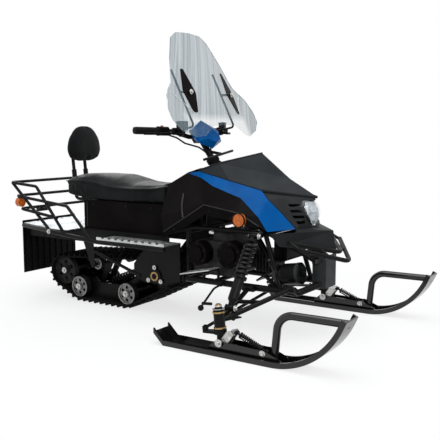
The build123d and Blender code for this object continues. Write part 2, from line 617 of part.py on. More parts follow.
def screen_edge(x):
    ends = [(x - back, y, SCREEN_BASE_Z) for y, back in [SCREEN_BEND] + SCREEN_FLARE]
    other = [(px, -py, pz) for px, py, pz in ends]
    edges = [ThreePointArc(other[0], (x, 0, SCREEN_BASE_Z), ends[0])]
    for side in (ends, other):
        edges.append(ThreePointArc(side[0], side[1], side[2]))
        edges.append(Line(side[2], side[3]))
    return edges, ends[3], other[3]


front_edges, front_left, front_right = screen_edge(screen_x)
back_edges, back_left, back_right = screen_edge(screen_x - SCREEN_THICK)
sheet_face = make_face(front_edges + back_edges + [Line(front_left, back_left), Line(front_right, back_right)])
sheet = Solid.extrude(sheet_face.face(), Vector(-SCREEN_LEAN, 0, 1) * SCREEN_RISE)


def seen_from_front(half_outline, corner):
    outline = half_outline + [(-y, z) for y, z in reversed(half_outline) if y > 0]
    face = make_face(FilletPolyline(*outline, radius=corner, close=True))
    return extrude(Pos(-400, 0, 0) * (Plane.YZ * face), amount=1200)


windscreen = sheet & seen_from_front(SCREEN_OUTLINE, SCREEN_CORNER)


def screen_front(y, z):
    bend_y, bend_back = SCREEN_BEND
    return SCREEN_MID_X - SCREEN_LEAN * (z - SCREEN_MID_Z) - bend_back * (y / bend_y) ** 2


PLATE_Y = 172
PLATE_BOLT_Z = 1082
PLATE_CIRCLES = [(164, 1180, 9), (PLATE_Y, PLATE_BOLT_Z, 36), (182, 1002, 15)]
plate_face = Plane.YZ * make_hull([Pos(y, z) * Edge.make_circle(r) for y, z, r in PLATE_CIRCLES])
front_sheet = Pos(SCREEN_THICK + 0.2, 0, 0) * sheet
screen_plate = front_sheet & extrude(Pos(-400, 0, 0) * plate_face, amount=1200)
stay_top = Vector(screen_front(PLATE_Y, PLATE_BOLT_Z) - SCREEN_THICK - 1, PLATE_Y, PLATE_BOLT_Z)
stay_foot = Vector(bar_points[-2]) + Vector(0, -18, 0)
STAY_R = 5
STAY_OFF = 46
STAY_KNEE_Z = 924
STAY_TIP_Z = 1186


def stay_point(z):
    return stay_top + Vector(-SCREEN_LEAN * (z - PLATE_BOLT_Z) - STAY_OFF, 0, z - PLATE_BOLT_Z)


stay = tube([stay_foot, stay_point(STAY_KNEE_Z), stay_point(STAY_TIP_Z)], STAY_R, 14)
stay = stay + rod(stay_top - Vector(STAY_OFF, 0, 0), stay_top + Vector(2 * SCREEN_THICK + 10, 0, 0), 6)
stay = stay + rod(stay_foot - Vector(0, 9, 0), stay_foot + Vector(0, 9, 0), BAR_R + 6)
stay = stay - handlebar
screen_plates = pair(screen_plate + stay)
stay_hole = rod(stay_top - Vector(20, 0, 0), stay_top + Vector(30, 0, 0), 6 + SEAT_GAP)
windscreen = windscreen - stay_hole - mirrored(stay_hole)

# Instrument box standing on the bar beside the clamp
INSTRUMENT_Y = -132
instrument = block(0, 28, INSTRUMENT_Y - 28, INSTRUMENT_Y + 28, 906, 950)
instrument = fillet(instrument.edges().filter_by(Axis.X), 6)
instrument = instrument + block(4, 24, INSTRUMENT_Y - 12, INSTRUMENT_Y + 12, 876, 908)
instrument = instrument - tube(bar_points, BAR_R + SEAT_GAP, 45)

COWL_BACK = [(0, 955), (114, 908), (102, 852), (0, 819), (-102, 852), (-114, 908)]
cowl_x = 62


def cowl_ring(scale, forward):
    middle = 888
    ring = []
    for y, z in COWL_BACK:
        ring.append((cowl_x + forward - SCREEN_LEAN * (z - middle), y * scale, middle + (z - middle) * scale))
    return ring


cowl_faces = []
rings = [cowl_ring(0.8, -30), cowl_ring(1, 0), cowl_ring(0.55, 26)]
cowl_faces.append(Face(Wire.make_polygon(rings[0], close=True)))
cowl_faces.append(Face(Wire.make_polygon(rings[2], close=True)))
for ring_a, ring_b in zip(rings, rings[1:]):
    for number in range(6):
        after = (number + 1) % 6
        cowl_faces.append(Face(Wire.make_polygon([ring_a[number], ring_a[after], ring_b[after]], close=True)))
        cowl_faces.append(Face(Wire.make_polygon([ring_a[number], ring_b[after], ring_b[number]], close=True)))
cowl = Solid(Shell(cowl_faces))
bar_reach = Vector(0, 200, 0)
cowl = cowl - rod(clamp_centre - bar_reach, clamp_centre + bar_reach, BAR_R + SEAT_GAP)
cowl = cowl - on_column(Rectangle(52.6, 70.6), 0, COLUMN_LENGTH + 10.3) - handlebar
cowl = cowl.solids().sort_by(SortBy.VOLUME)[-1]

# Tie rods: two eyes stacked on the pitman pin, each rod out to its spindle arm
EYE_CLEAR = 5
EYE_HALF = 7
EYE_LEVELS = {"left": -17, "right": -36}


def tie_rod(side):
    sign = 1 if side == "left" else -1
    outer_eye = kingpin_foot + across_kingpin * arm_end.X + up_kingpin * 12
    outer_eye = Vector(outer_eye.X, sign * outer_eye.Y, outer_eye.Z)
    inner_eye = column_foot + column_plane.x_dir * PITMAN + up_column * EYE_LEVELS[side]
    bar = rod(outer_eye, inner_eye, 7)
    bar = bar + rod(outer_eye - up_kingpin * EYE_HALF, outer_eye + up_kingpin * EYE_HALF, 13)
    bar = bar + rod(inner_eye - up_column * EYE_HALF, inner_eye + up_column * EYE_HALF, 17)
    bar = bar - rod(outer_eye - up_kingpin * 20, outer_eye + up_kingpin * 20, 6 + SEAT_GAP)
    return bar - rod(inner_eye - up_column * 20, inner_eye + up_column * 20, 6 + EYE_CLEAR)


# Body panels: named corner points on the right, faceted, mirrored for the left
DROP = (0, 0, -PANEL)
INWARD = (0, PANEL, 0)
HOOD = {
    "lip": (649, 0, 617), "corner": (445, -125, 645), "ridge": (518, 0, 690), "apex": (372, 0, 803),
    "brow": (205, -105, 757), "mid": (280, -140, 684), "back": (106, -130, 722),
}
HOOD_FACES = [
    ("brow", "apex", "ridge"), ("back", "mid", "brow"), ("mid", "ridge", "brow"), ("mid", "corner", "ridge"),
    ("corner", "lip", "ridge"),
]
right_hood = faceted(HOOD, HOOD_FACES, DROP)
hood = right_hood + mirrored(right_hood)

UNDER = PANEL + SEAT_GAP
STRIPE = {
    "t0": (44, -127, 706), "t1": (106, -130, 722 - UNDER), "t2": (280, -140, 684 - UNDER),
    "t3": (445, -125, 645 - UNDER), "t4": (480, -138, 606), "t5": (550, -132, 545), "t6": (614, -121, 480),
    "b1": (135, -150, 688), "b2": (210, -170, 655), "b3": (370, -182, 607), "b4": (467, -195, 530),
    "b5": (515, -200, 470),
}
STRIPE_FACES = [
    ("t0", "b1", "t1"), ("t1", "b1", "b2"), ("t1", "b2", "t2"), ("t2", "b2", "b3"),
    ("t2", "b3", "t3"), ("t3", "b3", "t4"), ("t4", "b3", "b4"), ("t4", "b4", "t5"),
    ("t5", "b4", "b5"), ("t5", "b5", "t6"),
]
right_stripe = faceted(STRIPE, STRIPE_FACES, INWARD)
stripes = pair(right_stripe)

SEAM = 0.8
SIDE = {
    "u0": (-78, -126, 642), "u1": (44, -127, 706 - SEAM), "u2": (135, -150, 688 - SEAM),
    "u3": (210, -170, 655 - SEAM), "u4": (370, -182, 607 - SEAM), "u5": (466, -195, 530 - SEAM),
    "u6": (512, -200, 470),
    "r0": (-78, -186, 500), "r1": (-46, -207, 428), "r2": (200, -224, 572), "r3": (385, -228, 546),
    "r4": (480, -210, 492), "l0": (-66, -203, 392), "l1": (70, -206, 452), "l2": (200, -212, 528),
    "l3": (385, -218, 500), "l4": (506, -200, 468),
}
SIDE_FACES = [
    ("u0", "r0", "u1"), ("u1", "r0", "r2"), ("u1", "r2", "u2"), ("u2", "r2", "u3"),
    ("u3", "r2", "u4"), ("u4", "r2", "r3"), ("u4", "r3", "u5"), ("u5", "r3", "r4"),
    ("u5", "r4", "u6"), ("u6", "r4", "l4"), ("r0", "r1", "r2"), ("r1", "l0", "l1"),
    ("r1", "l1", "r2"), ("r2", "l1", "l2"), ("r2", "l2", "r3"), ("r3", "l2", "l3"),
    ("r3", "l3", "r4"), ("r4", "l3", "l4"),
]
right_panel = faceted(SIDE, SIDE_FACES, INWARD)
side_panels = pair(right_panel)

CONSOLE = {
    "c0": (-78, 0, 664), "c1": (-78, -126, 642 + UNDER), "c2": (44, -127, 706 + UNDER), "c3": (70, -60, 728),
    "c4": (70, 0, 728),
}
CONSOLE_FACES = [("c0", "c1", "c4"), ("c1", "c3", "c4"), ("c1", "c2", "c3")]
right_console = faceted(CONSOLE, CONSOLE_FACES, DROP)
console = right_console + mirrored(right_console)

BACK = (-PANEL, 0, 0)
NOSE = {
    "n0": (750, 0, 376), "n1": (736, 0, 470), "n2": (560, -166, 404), "n3": (527, -197, 462),
    "n4": (617, -121, 464),
    "g0": (648, 0, 482), "g1": (645, 0, 612.6), "g2": (615, -116.4, 480), "g3": (447, -120.4, 640.3),
    "g4": (551, -127.4, 545), "g5": (481, -133.4, 606),
}
NOSE_FACES = [
    ("n0", "n2", "n1"), ("n1", "n2", "n4"), ("n2", "n3", "n4"), ("n1", "n4", "g2"),
    ("n1", "g2", "g0"), ("g0", "g2", "g1"), ("g2", "g4", "g1"), ("g4", "g5", "g1"),
    ("g5", "g3", "g1"),
]
right_nose = faceted(NOSE, NOSE_FACES, BACK)
nose = right_nose + mirrored(right_nose)
LAMP_X = 590
LAMP_Z = 541
LAMP_BULGE = 72
LAMP_WALL = 4
LAMP_HALF = [(44, 598), (62, 572), (60, 538), (36, 500), (0, 476)]


def lamp_block(shrink, x_low, x_high):
    outline = LAMP_HALF + [(-y, z) for y, z in reversed(LAMP_HALF) if y > 0]
    face = make_face(FilletPolyline(*outline, radius=10, close=True))
    face = offset(face, amount=-shrink) if shrink else face
    return extrude(Pos(x_low, 0, 0) * (Plane.YZ * face), amount=x_high - x_low)


nose = nose - lamp_block(-SEAT_GAP, 480, 760)
GRILLE = [(506, 62, 104), (530, 66, 104), (554, 66, 100), (578, 58, 92)]
for z, y_low, y_high in GRILLE:
    slot = block(440, 700, -y_high, -y_low, z - 6, z + 6)
    nose = nose - slot - mirrored(slot)

lamp_globe = Pos(LAMP_X, 0, LAMP_Z) * Sphere(LAMP_BULGE)
LAMP_BACK = 552
LAMP_DEPTH = 5
headlamp = lamp_block(0, LAMP_BACK, LAMP_X + LAMP_BULGE) & (lamp_globe + lamp_block(0, LAMP_BACK, LAMP_X))
headlamp = headlamp - lamp_block(LAMP_WALL, LAMP_BACK + LAMP_WALL, LAMP_X + LAMP_BULGE)
lens_globe = Pos(LAMP_X, 0, LAMP_Z) * (Sphere(LAMP_BULGE + 2) - Sphere(LAMP_BULGE - LAMP_DEPTH))
headlamp_lens = lamp_block(LAMP_WALL + SEAT_GAP, LAMP_X, LAMP_X + LAMP_BULGE + 8) & lens_globe

# Bumper: two bent tubes carried by struts on the bulkhead
BUMPER_R = 10
LOW_TUBE = [(676, -206, 404), (817, 0, 340), (676, 206, 404)]
HIGH_TUBE = [(622, -206, 430), (778, 0, 376), (622, 206, 430)]
bumper = tube(LOW_TUBE, BUMPER_R, 45) + tube(HIGH_TUBE, BUMPER_R, 45)
for side in (-1, 1):
    for share in (0.42, 0.96):
        low = Vector(817, 0, 340) + (Vector(676, side * 206, 404) - Vector(817, 0, 340)) * share
        high = Vector(778, 0, 376) + (Vector(622, side * 206, 430) - Vector(778, 0, 376)) * share
        bumper = bumper + rod(low, high, 7)
    bumper = bumper + rod((703, side * 82, 352), (708, side * 90, 402), 8)
bumper = bumper - nose - bulkhead

# Seat, its box, backrest and posts
SEAT_Z = 548
SEAT_HALF = 150
SEAT_REAR = -756
SEAT_FRONT = -84
SEAT_SIDE = [(SEAT_REAR, 566), (SEAT_REAR + 6, 652), (SEAT_REAR + 34, 676), (-430, 682), (-300, 647),
             (-160, 645), (SEAT_FRONT, 662), (SEAT_FRONT, 556), (SEAT_FRONT - 26, SEAT_Z), (-650, SEAT_Z),
             (-660, 558)]
seat = side_plate(SEAT_SIDE, -SEAT_HALF, SEAT_HALF)
SEAT_WAIST = -230
WAIST_CUT = 22
waist = block(SEAT_WAIST, SEAT_FRONT, SEAT_HALF - WAIST_CUT, SEAT_HALF, SEAT_Z, 700)
seat = seat - waist - mirrored(waist)

BOX_HALF = 158
BOX_WALL = 5
BOX_REAR = -606
BOX_TOP_X = -82
BOX_FOOT_X = -60
box_outline = [(BOX_REAR, TUNNEL_TOP), (BOX_REAR, SEAT_Z), (BOX_TOP_X, SEAT_Z), (BOX_FOOT_X, TUNNEL_TOP)]
box_inner = [(BOX_REAR + BOX_WALL, TUNNEL_TOP), (BOX_REAR + BOX_WALL, SEAT_Z - BOX_WALL),
             (BOX_TOP_X - BOX_WALL, SEAT_Z - BOX_WALL), (BOX_FOOT_X - BOX_WALL, TUNNEL_TOP)]
seat_box = side_plate(box_outline, -BOX_HALF, BOX_HALF)
seat_box = seat_box - side_plate(box_inner, -BOX_HALF + BOX_WALL, BOX_HALF - BOX_WALL)

# Rear deck: one plate on the tunnel, from the seat box to the flap, narrower behind
DECK_THICK = 3
DECK_REAR = -1026
DECK_KNEE = -716
DECK_HALF = 288
DECK_REAR_HALF = 196
DECK_HALF_PLAN = [(DECK_REAR, DECK_REAR_HALF), (DECK_KNEE, DECK_HALF), (BOX_REAR - SEAT_GAP, DECK_HALF)]
deck_plan = DECK_HALF_PLAN + [(x, -y) for x, y in reversed(DECK_HALF_PLAN)]
rear_deck = extrude(Pos(0, 0, TUNNEL_TOP) * make_face(Polyline(*deck_plan, close=True)), amount=DECK_THICK)

POST_X = -776
PAD_X = -792
POST_Y = 44
POST_R = 9
POST_LOW = SEAT_Z - POST_R - 1
POST_BEND = 596
POST_LINE = [(BOX_REAR, POST_Y, POST_LOW), (POST_X, POST_Y, POST_LOW), (POST_X, POST_Y, POST_BEND),
             (PAD_X - 4, POST_Y, 780)]
post = tube(POST_LINE, POST_R, 24)
post = post + rod((POST_X - 3, POST_Y, POST_BEND + 28), (POST_X - 11, POST_Y, POST_BEND + 100), POST_R + 4)
post = post + block(BOX_REAR - 5, BOX_REAR, POST_Y - 20, POST_Y + 20, POST_LOW - 40, POST_LOW + POST_R)
PAD_OUTLINE = [(0, 934), (50, 929), (92, 893), (119, 842), (124, 798), (106, 757), (62, 741), (0, 738)]
pad_points = PAD_OUTLINE + [(-y, z) for y, z in reversed(PAD_OUTLINE) if y > 0]
pad_face = Plane.YZ * make_face(FilletPolyline(*pad_points, radius=24, close=True))
PAD_THICK = 62
backrest = Pos(PAD_X + 10, 0, 0) * extrude(pad_face, amount=PAD_THICK)
back_plate = Pos(PAD_X + 5.4, 0, 0) * extrude(Plane.YZ * (Pos(0, 800) * Rectangle(130, 70)), amount=4.3)
backrest_posts = post + mirrored(post) + back_plate

# Rear rack of bent tubes and its outriggers
RACK_R = 8
RACK_Y = 296
BASE_R = RACK_R + 3
BASE_Z = PLATE_TOP - BASE_R - SEAT_GAP
BASE_HIGH = TUNNEL_TOP - BASE_R - SEAT_GAP


def base_z(x):
    share = min(max((x - BOARD_REAR) / (DECK_KNEE - BOARD_REAR), 0), 1)
    return BASE_Z + (BASE_HIGH - BASE_Z) * share


RAILS = [
    [(-612, base_z(-612)), (-812, 618), (-1006, 632)],
    [(-430, base_z(-430)), (-592, 527), (-966, 562)],
    [(-664, 462), (-936, 495)],
]


def rack_rail(side_points):
    right = [(x, -RACK_Y, z) for x, z in side_points]
    left = [(x, RACK_Y, z) for x, z in reversed(side_points)]
    return tube(right + left, RACK_R, 26)


rack = rack_rail(RAILS[0]) + rack_rail(RAILS[1]) + rack_rail(RAILS[2])
for side in (-1, 1):
    base_line = [(BOARD_FRONT, RACK_Y, BASE_Z), (BOARD_REAR, RACK_Y, BASE_Z), (DECK_KNEE, RACK_Y, BASE_HIGH),
                 (DECK_REAR, DECK_REAR_HALF + 4, BASE_HIGH)]
    rack = rack + tube([(x, side * y, z) for x, y, z in base_line], BASE_R, 60)
    rack = rack + rod((DECK_KNEE, side * (RACK_Y - 2), BASE_HIGH), (-992, side * RACK_Y, 630), RACK_R)
    for x in (-430, -690):
        rack = rack + rod((x, side * TUNNEL_HALF, base_z(x)), (x, side * RACK_Y, base_z(x)), RACK_R)
rack = rack - rear_deck

# Mud flap with moulded ribs
FLAP_X = -1039
FLAP_HALF = 198
flap = block(FLAP_X, FLAP_X + 6, -FLAP_HALF, FLAP_HALF, 122, 414)
for number in range(9):
    y = -FLAP_HALF + 18 + number * (2 * FLAP_HALF - 36) / 8
    flap = flap + block(FLAP_X + 6, FLAP_X + 11, y - 5, y + 5, 130, 390)
for z in (170, 250, 330):
    flap = flap + block(FLAP_X + 6, FLAP_X + 9, -FLAP_HALF + 8, FLAP_HALF - 8, z - 4, z + 4)
mud_flap = flap + block(FLAP_X + 6, TUNNEL_REAR, -150, 150, TUNNEL_TOP - 24, TUNNEL_TOP)

# Fuel tank on its cross tube under the console, and the battery box on its tray
TANK_HALF = 112
tank_low = tank_rest + TANK_CROSS_R + SEAT_GAP
TANK_SIDE = [(-46, tank_low), (100, tank_low), (100, 540), (86, 604), (-60, 604)]
fuel_tank = fillet(side_plate(TANK_SIDE, -TANK_HALF, TANK_HALF).edges().filter_by(Axis.Y), 12)
battery_box = block(492, 556, -100, 100, TRAY_Z + TRAY_SKIN + SEAT_GAP, 446)
battery_box = fillet(battery_box.edges().filter_by(Axis.Z), 8)

# Lamps on the rack and the side panels
tail_lamp = block(-950, -928, -172, -92, 470, 486.6) + block(-958, -950, -168, -96, 466, 488)
tail_lamp = tail_lamp - rack
MARKER_R = 29
front_marker = side_disc(392, 516, MARKER_R, -238, -214) - right_panel
front_marker = front_marker.solids().sort_by(Axis.Y)[0]
rear_marker = rod((-962, -284, 528), (-936, -284, 528), 25) - rack
marker_lamps = Compound(children=[front_marker, mirrored(front_marker), rear_marker, mirrored(rear_marker)])

# Foot plates and the gear lever
foot_low = [FOOT_REAR, FOOT_FRONT]
foot_high = [(x, z + FOOT_SKIN) for x, z in reversed(foot_low)]
foot_rest = side_plate(foot_low + foot_high, -FOOT_OUT, -FOOT_IN)
TREADS = 5
for number in range(TREADS):
    x = FOOT_REAR[0] + (number + 0.5) * (FOOT_FRONT[0] - FOOT_REAR[0]) / TREADS
    groove = block(x - 6, x + 6, -FOOT_OUT + 14, -FOOT_IN - 14, FOOT_REAR[1], FOOT_FRONT[1] + FOOT_SKIN)
    foot_rest = foot_rest - groove
foot_rests = pair(foot_rest)

LEVER = [(262, -168, RAIL_Z), (262, -236, 196), (200, -247, 106)]
gear_lever = tube(LEVER, 5, 14) + Pos(198, -248, 100) * Sphere(14) + rod((205, -246, 122), (256, -246, 126), 7)
gear_lever = gear_lever + side_disc(262, RAIL_Z, 11, -180, -165.3)

parts = {
    "track": track,
    "idler_wheels": idler_wheels,
    "tail_wheels": tail_wheels,
    "drive_axle": drive_axle,
    "skid_rails": skid_rails,
    "skid_arms": skid_arms,
    "skid_damper": skid_damper,
    "tunnel": tunnel,
    "drive_plates": drive_plates,
    "running_boards": running_boards,
    "frame": frame,
    "bulkhead": bulkhead,
    "engine": engine,
    "engine_covers": engine_covers,
    "exhaust": exhaust,
    "a_arms": a_arms,
    "shocks": shocks,
    "steering_column": steering_column,
    "handlebar": handlebar,
    "grips": grips,
    "hand_controls": hand_controls,
    "windscreen": windscreen,
    "screen_plates": screen_plates,
    "cowl": cowl,
    "instrument": instrument,
    "column_boot": column_boot,
    "cables": cables,
    "hood": hood,
    "stripes": stripes,
    "side_panels": side_panels,
    "console": console,
    "nose": nose,
    "headlamp": headlamp,
    "headlamp_lens": headlamp_lens,
    "bumper": bumper,
    "seat": seat,
    "seat_box": seat_box,
    "rear_deck": rear_deck,
    "fuel_tank": fuel_tank,
    "battery_box": battery_box,
    "backrest": backrest,
    "backrest_posts": backrest_posts,
    "rack": rack,
    "mud_flap": mud_flap,
    "tail_lamp": tail_lamp,
    "marker_lamps": marker_lamps,
    "foot_rests": foot_rests,
    "gear_lever": gear_lever,
    "tie_rod_left": tie_rod("left"),
    "tie_rod_right": tie_rod("right"),
}
for name, shape in left_side.items():
    parts[name + "_left"] = shape
    parts[name + "_right"] = mirrored(shape)

os.makedirs("parts", exist_ok=True)
for name, shape in parts.items():
    export_step(shape, "parts/" + name + ".step")
    box = shape.bounding_box()
    size = [round(v) for v in box.max - box.min]
    print(name, len(shape.solids()), "solids,", round(shape.volume / 1000), "cm3,", size)
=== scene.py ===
# %% [markdown]
# # Dressing a snow bike
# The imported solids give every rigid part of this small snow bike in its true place, in metres, with X
# forward, Y to the rider's left and Z up. This lesson keeps them as the frame, gives each a finish made
# from nodes, and models what solids can't show well: padded seats, wound springs, bolts and lamp insides.

# %% Load the frame
import math

import bmesh
import bpy
from mathutils import Matrix, Vector
from mathutils.bvhtree import BVHTree


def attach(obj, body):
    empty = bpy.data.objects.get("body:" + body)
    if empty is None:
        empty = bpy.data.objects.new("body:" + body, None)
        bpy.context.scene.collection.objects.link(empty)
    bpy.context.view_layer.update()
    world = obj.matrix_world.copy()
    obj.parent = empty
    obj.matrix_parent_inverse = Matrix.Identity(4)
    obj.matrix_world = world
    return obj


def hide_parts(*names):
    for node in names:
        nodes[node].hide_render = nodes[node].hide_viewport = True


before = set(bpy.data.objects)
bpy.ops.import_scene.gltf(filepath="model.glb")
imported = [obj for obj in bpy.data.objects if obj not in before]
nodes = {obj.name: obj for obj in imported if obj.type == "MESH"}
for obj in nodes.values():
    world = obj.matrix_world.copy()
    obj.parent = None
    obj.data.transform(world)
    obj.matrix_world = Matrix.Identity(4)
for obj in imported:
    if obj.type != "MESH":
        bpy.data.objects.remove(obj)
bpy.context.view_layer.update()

# %% [markdown]
# ## Camera
# The photograph looks at the right front corner from a little below the top of the bars. A long lens keeps
# the near ski from growing too large, so the camera stands back and its place and tilt are given as numbers.

# %% Camera
CAMERA_PLACE = Vector((2.019, -2.851, 0.898))
CAMERA_TURN = math.radians(33.39)
CAMERA_DIP = math.radians(7.05)
CAMERA_LENS = 58.1
CAMERA_SENSOR = 36.0

camera_data = bpy.data.cameras.new("photo_camera")
camera_data.lens = CAMERA_LENS
camera_data.sensor_width = CAMERA_SENSOR
camera = bpy.data.objects.new("photo_camera", camera_data)
camera.location = CAMERA_PLACE
camera.rotation_euler = (math.pi / 2 - CAMERA_DIP, 0.0, CAMERA_TURN)
bpy.context.collection.objects.link(camera)
bpy.context.scene.camera = camera
print("camera lens", CAMERA_LENS, "mm")

# %% [markdown]
# ## Tools for nodes
# Light, floor and finishes are all built from shader nodes. The first helper starts a material with values
# on its shader's sockets. The next two stretch a value to another range and join two values. The last two
# tell what is looked at from what only lights, and mix two shaders by that.


# %% Node helpers
def start_finish(name, sockets):
    """A new material with its node tree, its shader and its Object coordinates."""
    made = bpy.data.materials.new(name)
    made.use_nodes = True
    shader = made.node_tree.nodes["Principled BSDF"]
    for socket, value in sockets.items():
        shader.inputs[socket].default_value = value
    coords = made.node_tree.nodes.new("ShaderNodeTexCoord").outputs["Object"]
    return made, made.node_tree, shader, coords


def spread(tree, value, low, high, start=0.3, end=0.7):
    """Carries a value that runs from start to end over to low and high."""
    node = tree.nodes.new("ShaderNodeMapRange")
    for socket, bound in (("From Min", start), ("From Max", end), ("To Min", low), ("To Max", high)):
        node.inputs[socket].default_value = bound
    tree.links.new(value, node.inputs["Value"])
    return node.outputs["Result"]


def joined(tree, operation, first, second):
    """Two values, each a socket or a plain number, joined by an operation."""
    node = tree.nodes.new("ShaderNodeMath")
    node.operation = operation
    for socket, value in zip(node.inputs, (first, second)):
        if isinstance(value, float):
            socket.default_value = value
        else:
            tree.links.new(value, socket)
    return node.outputs[0]


def seen_directly(tree):
    """1 for rays from the camera, from a mirror or through glass, and 0 for rays that light things."""
    path = tree.nodes.new("ShaderNodeLightPath").outputs
    bounced = joined(tree, "MAXIMUM", path["Is Glossy Ray"], path["Is Transmission Ray"])
    return joined(tree, "MAXIMUM", path["Is Camera Ray"], bounced)


def mixed(tree, share, first, second, output):
    """Shows the second shader by its share, over the first."""
    node = tree.nodes.new("ShaderNodeMixShader")
    for socket, value in zip(node.inputs, (share, first.outputs[0], second.outputs[0])):
        tree.links.new(value, socket)
    tree.links.new(node.outputs[0], output.inputs["Surface"])


print("node helpers ready")

# %% [markdown]
# ## Light
# A bright sky seen only by the camera, by mirrors and by clear sheets gives the white ground of a catalogue
# picture, while a dimmer sky does the lighting. Three wide lamps act as soft boxes: one overhead, so that
# level faces read lighter than upright ones, one low in front for the gleam on the stripes, one behind.

# %% World and lamps
SKY_COLOUR = (0.92, 0.96, 1.0, 1.0)
SKY_STRENGTH = 0.5
WHITE = (1.0, 1.0, 1.0, 1.0)
# Name, place, target, width in metres and power in watts
SOFT_BOXES = [
    ("overhead_box", (0.4, -0.6, 3.6), (0.0, 0.0, 0.4), 3.2, 95.0),
    ("front_box", (3.2, -2.2, 2.1), (0.3, 0.0, 0.5), 1.6, 42.0),
    ("rear_box", (-3.0, 2.4, 2.6), (-0.2, 0.0, 0.5), 1.8, 36.0),
]
scene = bpy.context.scene
scene.view_settings.view_transform = "Standard"
world = bpy.data.worlds.new("studio")
scene.world = world
world.use_nodes = True
sky = world.node_tree
sky.nodes.clear()
skies = []
for colour, strength in ((SKY_COLOUR, SKY_STRENGTH), (WHITE, 1.0)):
    background = sky.nodes.new("ShaderNodeBackground")
    background.inputs["Color"].default_value = colour
    background.inputs["Strength"].default_value = strength
    skies.append(background)
mixed(sky, seen_directly(sky), *skies, sky.nodes.new("ShaderNodeOutputWorld"))
for box_name, place, target, size, power in SOFT_BOXES:
    lamp_data = bpy.data.lights.new(box_name, "AREA")
    lamp_data.size = size
    lamp_data.energy = power
    lamp = bpy.data.objects.new(box_name, lamp_data)
    lamp.location = place
    lamp.rotation_euler = (Vector(target) - Vector(place)).to_track_quat("-Z", "Y").to_euler()
    bpy.context.collection.objects.link(lamp)
print("soft boxes:", len(SOFT_BOXES))

# %% [markdown]
# ## Floor
# The floor is a matt pale sheet. Near the machine it is lit as any surface, so that it holds the shadow, and
# further out its own glow takes over, until it meets the white of the sky with no horizon line.

# %% Floor
FLOOR_HALF = 9.0
FLOOR_DROP = 0.001
FLOOR_COLOUR = (0.86, 0.86, 0.86, 1.0)
GLOW_SHARE = (0.72, 1.0)
GLOW_REACH = (0.7, 1.7)
floor_paint, tree, shader, coords = start_finish("pale_floor", {"Base Color": FLOOR_COLOUR, "Roughness": 0.9})
far = tree.nodes.new("ShaderNodeVectorMath")
far.operation = "LENGTH"
tree.links.new(coords, far.inputs[0])
rise = spread(tree, far.outputs["Value"], *GLOW_SHARE, *GLOW_REACH)
rise.node.interpolation_type = "SMOOTHSTEP"
glow = tree.nodes.new("ShaderNodeEmission")
mixed(tree, joined(tree, "MULTIPLY", seen_directly(tree), rise), shader, glow, tree.nodes["Material Output"])
floor_mesh = bmesh.new()
bmesh.ops.create_grid(floor_mesh, x_segments=1, y_segments=1, size=FLOOR_HALF)
floor_data = bpy.data.meshes.new("floor")
floor_mesh.to_mesh(floor_data)
floor_mesh.free()
floor_data.materials.append(floor_paint)
floor = bpy.data.objects.new("floor", floor_data)
floor.location = (0.0, 0.0, -FLOOR_DROP)
bpy.context.collection.objects.link(floor)
print("floor half width", FLOOR_HALF, "m")

# %% [markdown]
# ## Tools for finishes
# Real plastic, paint and metal are never one flat colour. A finish here starts from the shader, then takes
# noise at two sizes from Object coordinates: a broad one for colour and a fine one for gloss and relief.
# Object coordinates are in metres, so a texture scale of one over the grain in metres gives the true size.


# %% Texture helpers
def noise(tree, coords, grain, stretch=(1.0, 1.0, 1.0), detail=3.0):
    mapping = tree.nodes.new("ShaderNodeMapping")
    mapping.inputs["Scale"].default_value = stretch
    texture = tree.nodes.new("ShaderNodeTexNoise")
    texture.inputs["Scale"].default_value = 1.0 / grain
    texture.inputs["Detail"].default_value = detail
    tree.links.new(coords, mapping.inputs["Vector"])
    tree.links.new(mapping.outputs["Vector"], texture.inputs["Vector"])
    return texture.outputs["Fac"]


def cells(tree, coords, size, output="Distance"):
    texture = tree.nodes.new("ShaderNodeTexVoronoi")
    texture.inputs["Scale"].default_value = 1.0 / size
    tree.links.new(coords, texture.inputs["Vector"])
    return texture.outputs[output]


def waves(tree, coords, direction, scale, distortion=0.0):
    texture = tree.nodes.new("ShaderNodeTexWave")
    texture.bands_direction = direction
    texture.inputs["Scale"].default_value = scale
    texture.inputs["Distortion"].default_value = distortion
    tree.links.new(coords, texture.inputs["Vector"])
    return texture.outputs["Fac"]


def painted(tree, shader, value, stops):
    """Colours a shader by a value, through stops of a place and a colour."""
    node = tree.nodes.new("ShaderNodeValToRGB")
    while len(node.color_ramp.elements) < len(stops):
        node.color_ramp.elements.new(0.5)
    for element, (place, colour) in zip(node.color_ramp.elements, stops):
        element.position = place
        element.color = (*colour, 1.0)
    tree.links.new(value, node.inputs["Fac"])
    tree.links.new(node.outputs["Color"], shader.inputs["Base Color"])


def relief(tree, shader, height, depth):
    node = tree.nodes.new("ShaderNodeBump")
    node.inputs["Distance"].default_value = depth
    tree.links.new(height, node.inputs["Height"])
    tree.links.new(node.outputs["Normal"], shader.inputs["Normal"])


def grained(name, dark, light, grain, depth, gloss, sockets, stretch=(1.0, 1.0, 1.0), patch=0.12):
    """A finish with broad colour patches, and fine grain in its gloss and relief."""
    made, tree, shader, coords = start_finish(name, sockets)
    fine = noise(tree, coords, grain, stretch)
    painted(tree, shader, noise(tree, coords, patch), [(0.35, dark), (0.68, light)])
    tree.links.new(spread(tree, fine, *gloss), shader.inputs["Roughness"])
    relief(tree, shader, fine, depth)
    return made


print("texture helpers ready")

# %% [markdown]
# ## Plastics, paint and rubber
# Most of this machine is black, yet each black differs: the panels are satin mouldings, the hood is a
# coarse-grained dark grey, the tubes are powder coated, the skis are glossy and scuffed along their length,
# and the track is dull rubber. Only grain size, gloss and a little colour tell them apart.


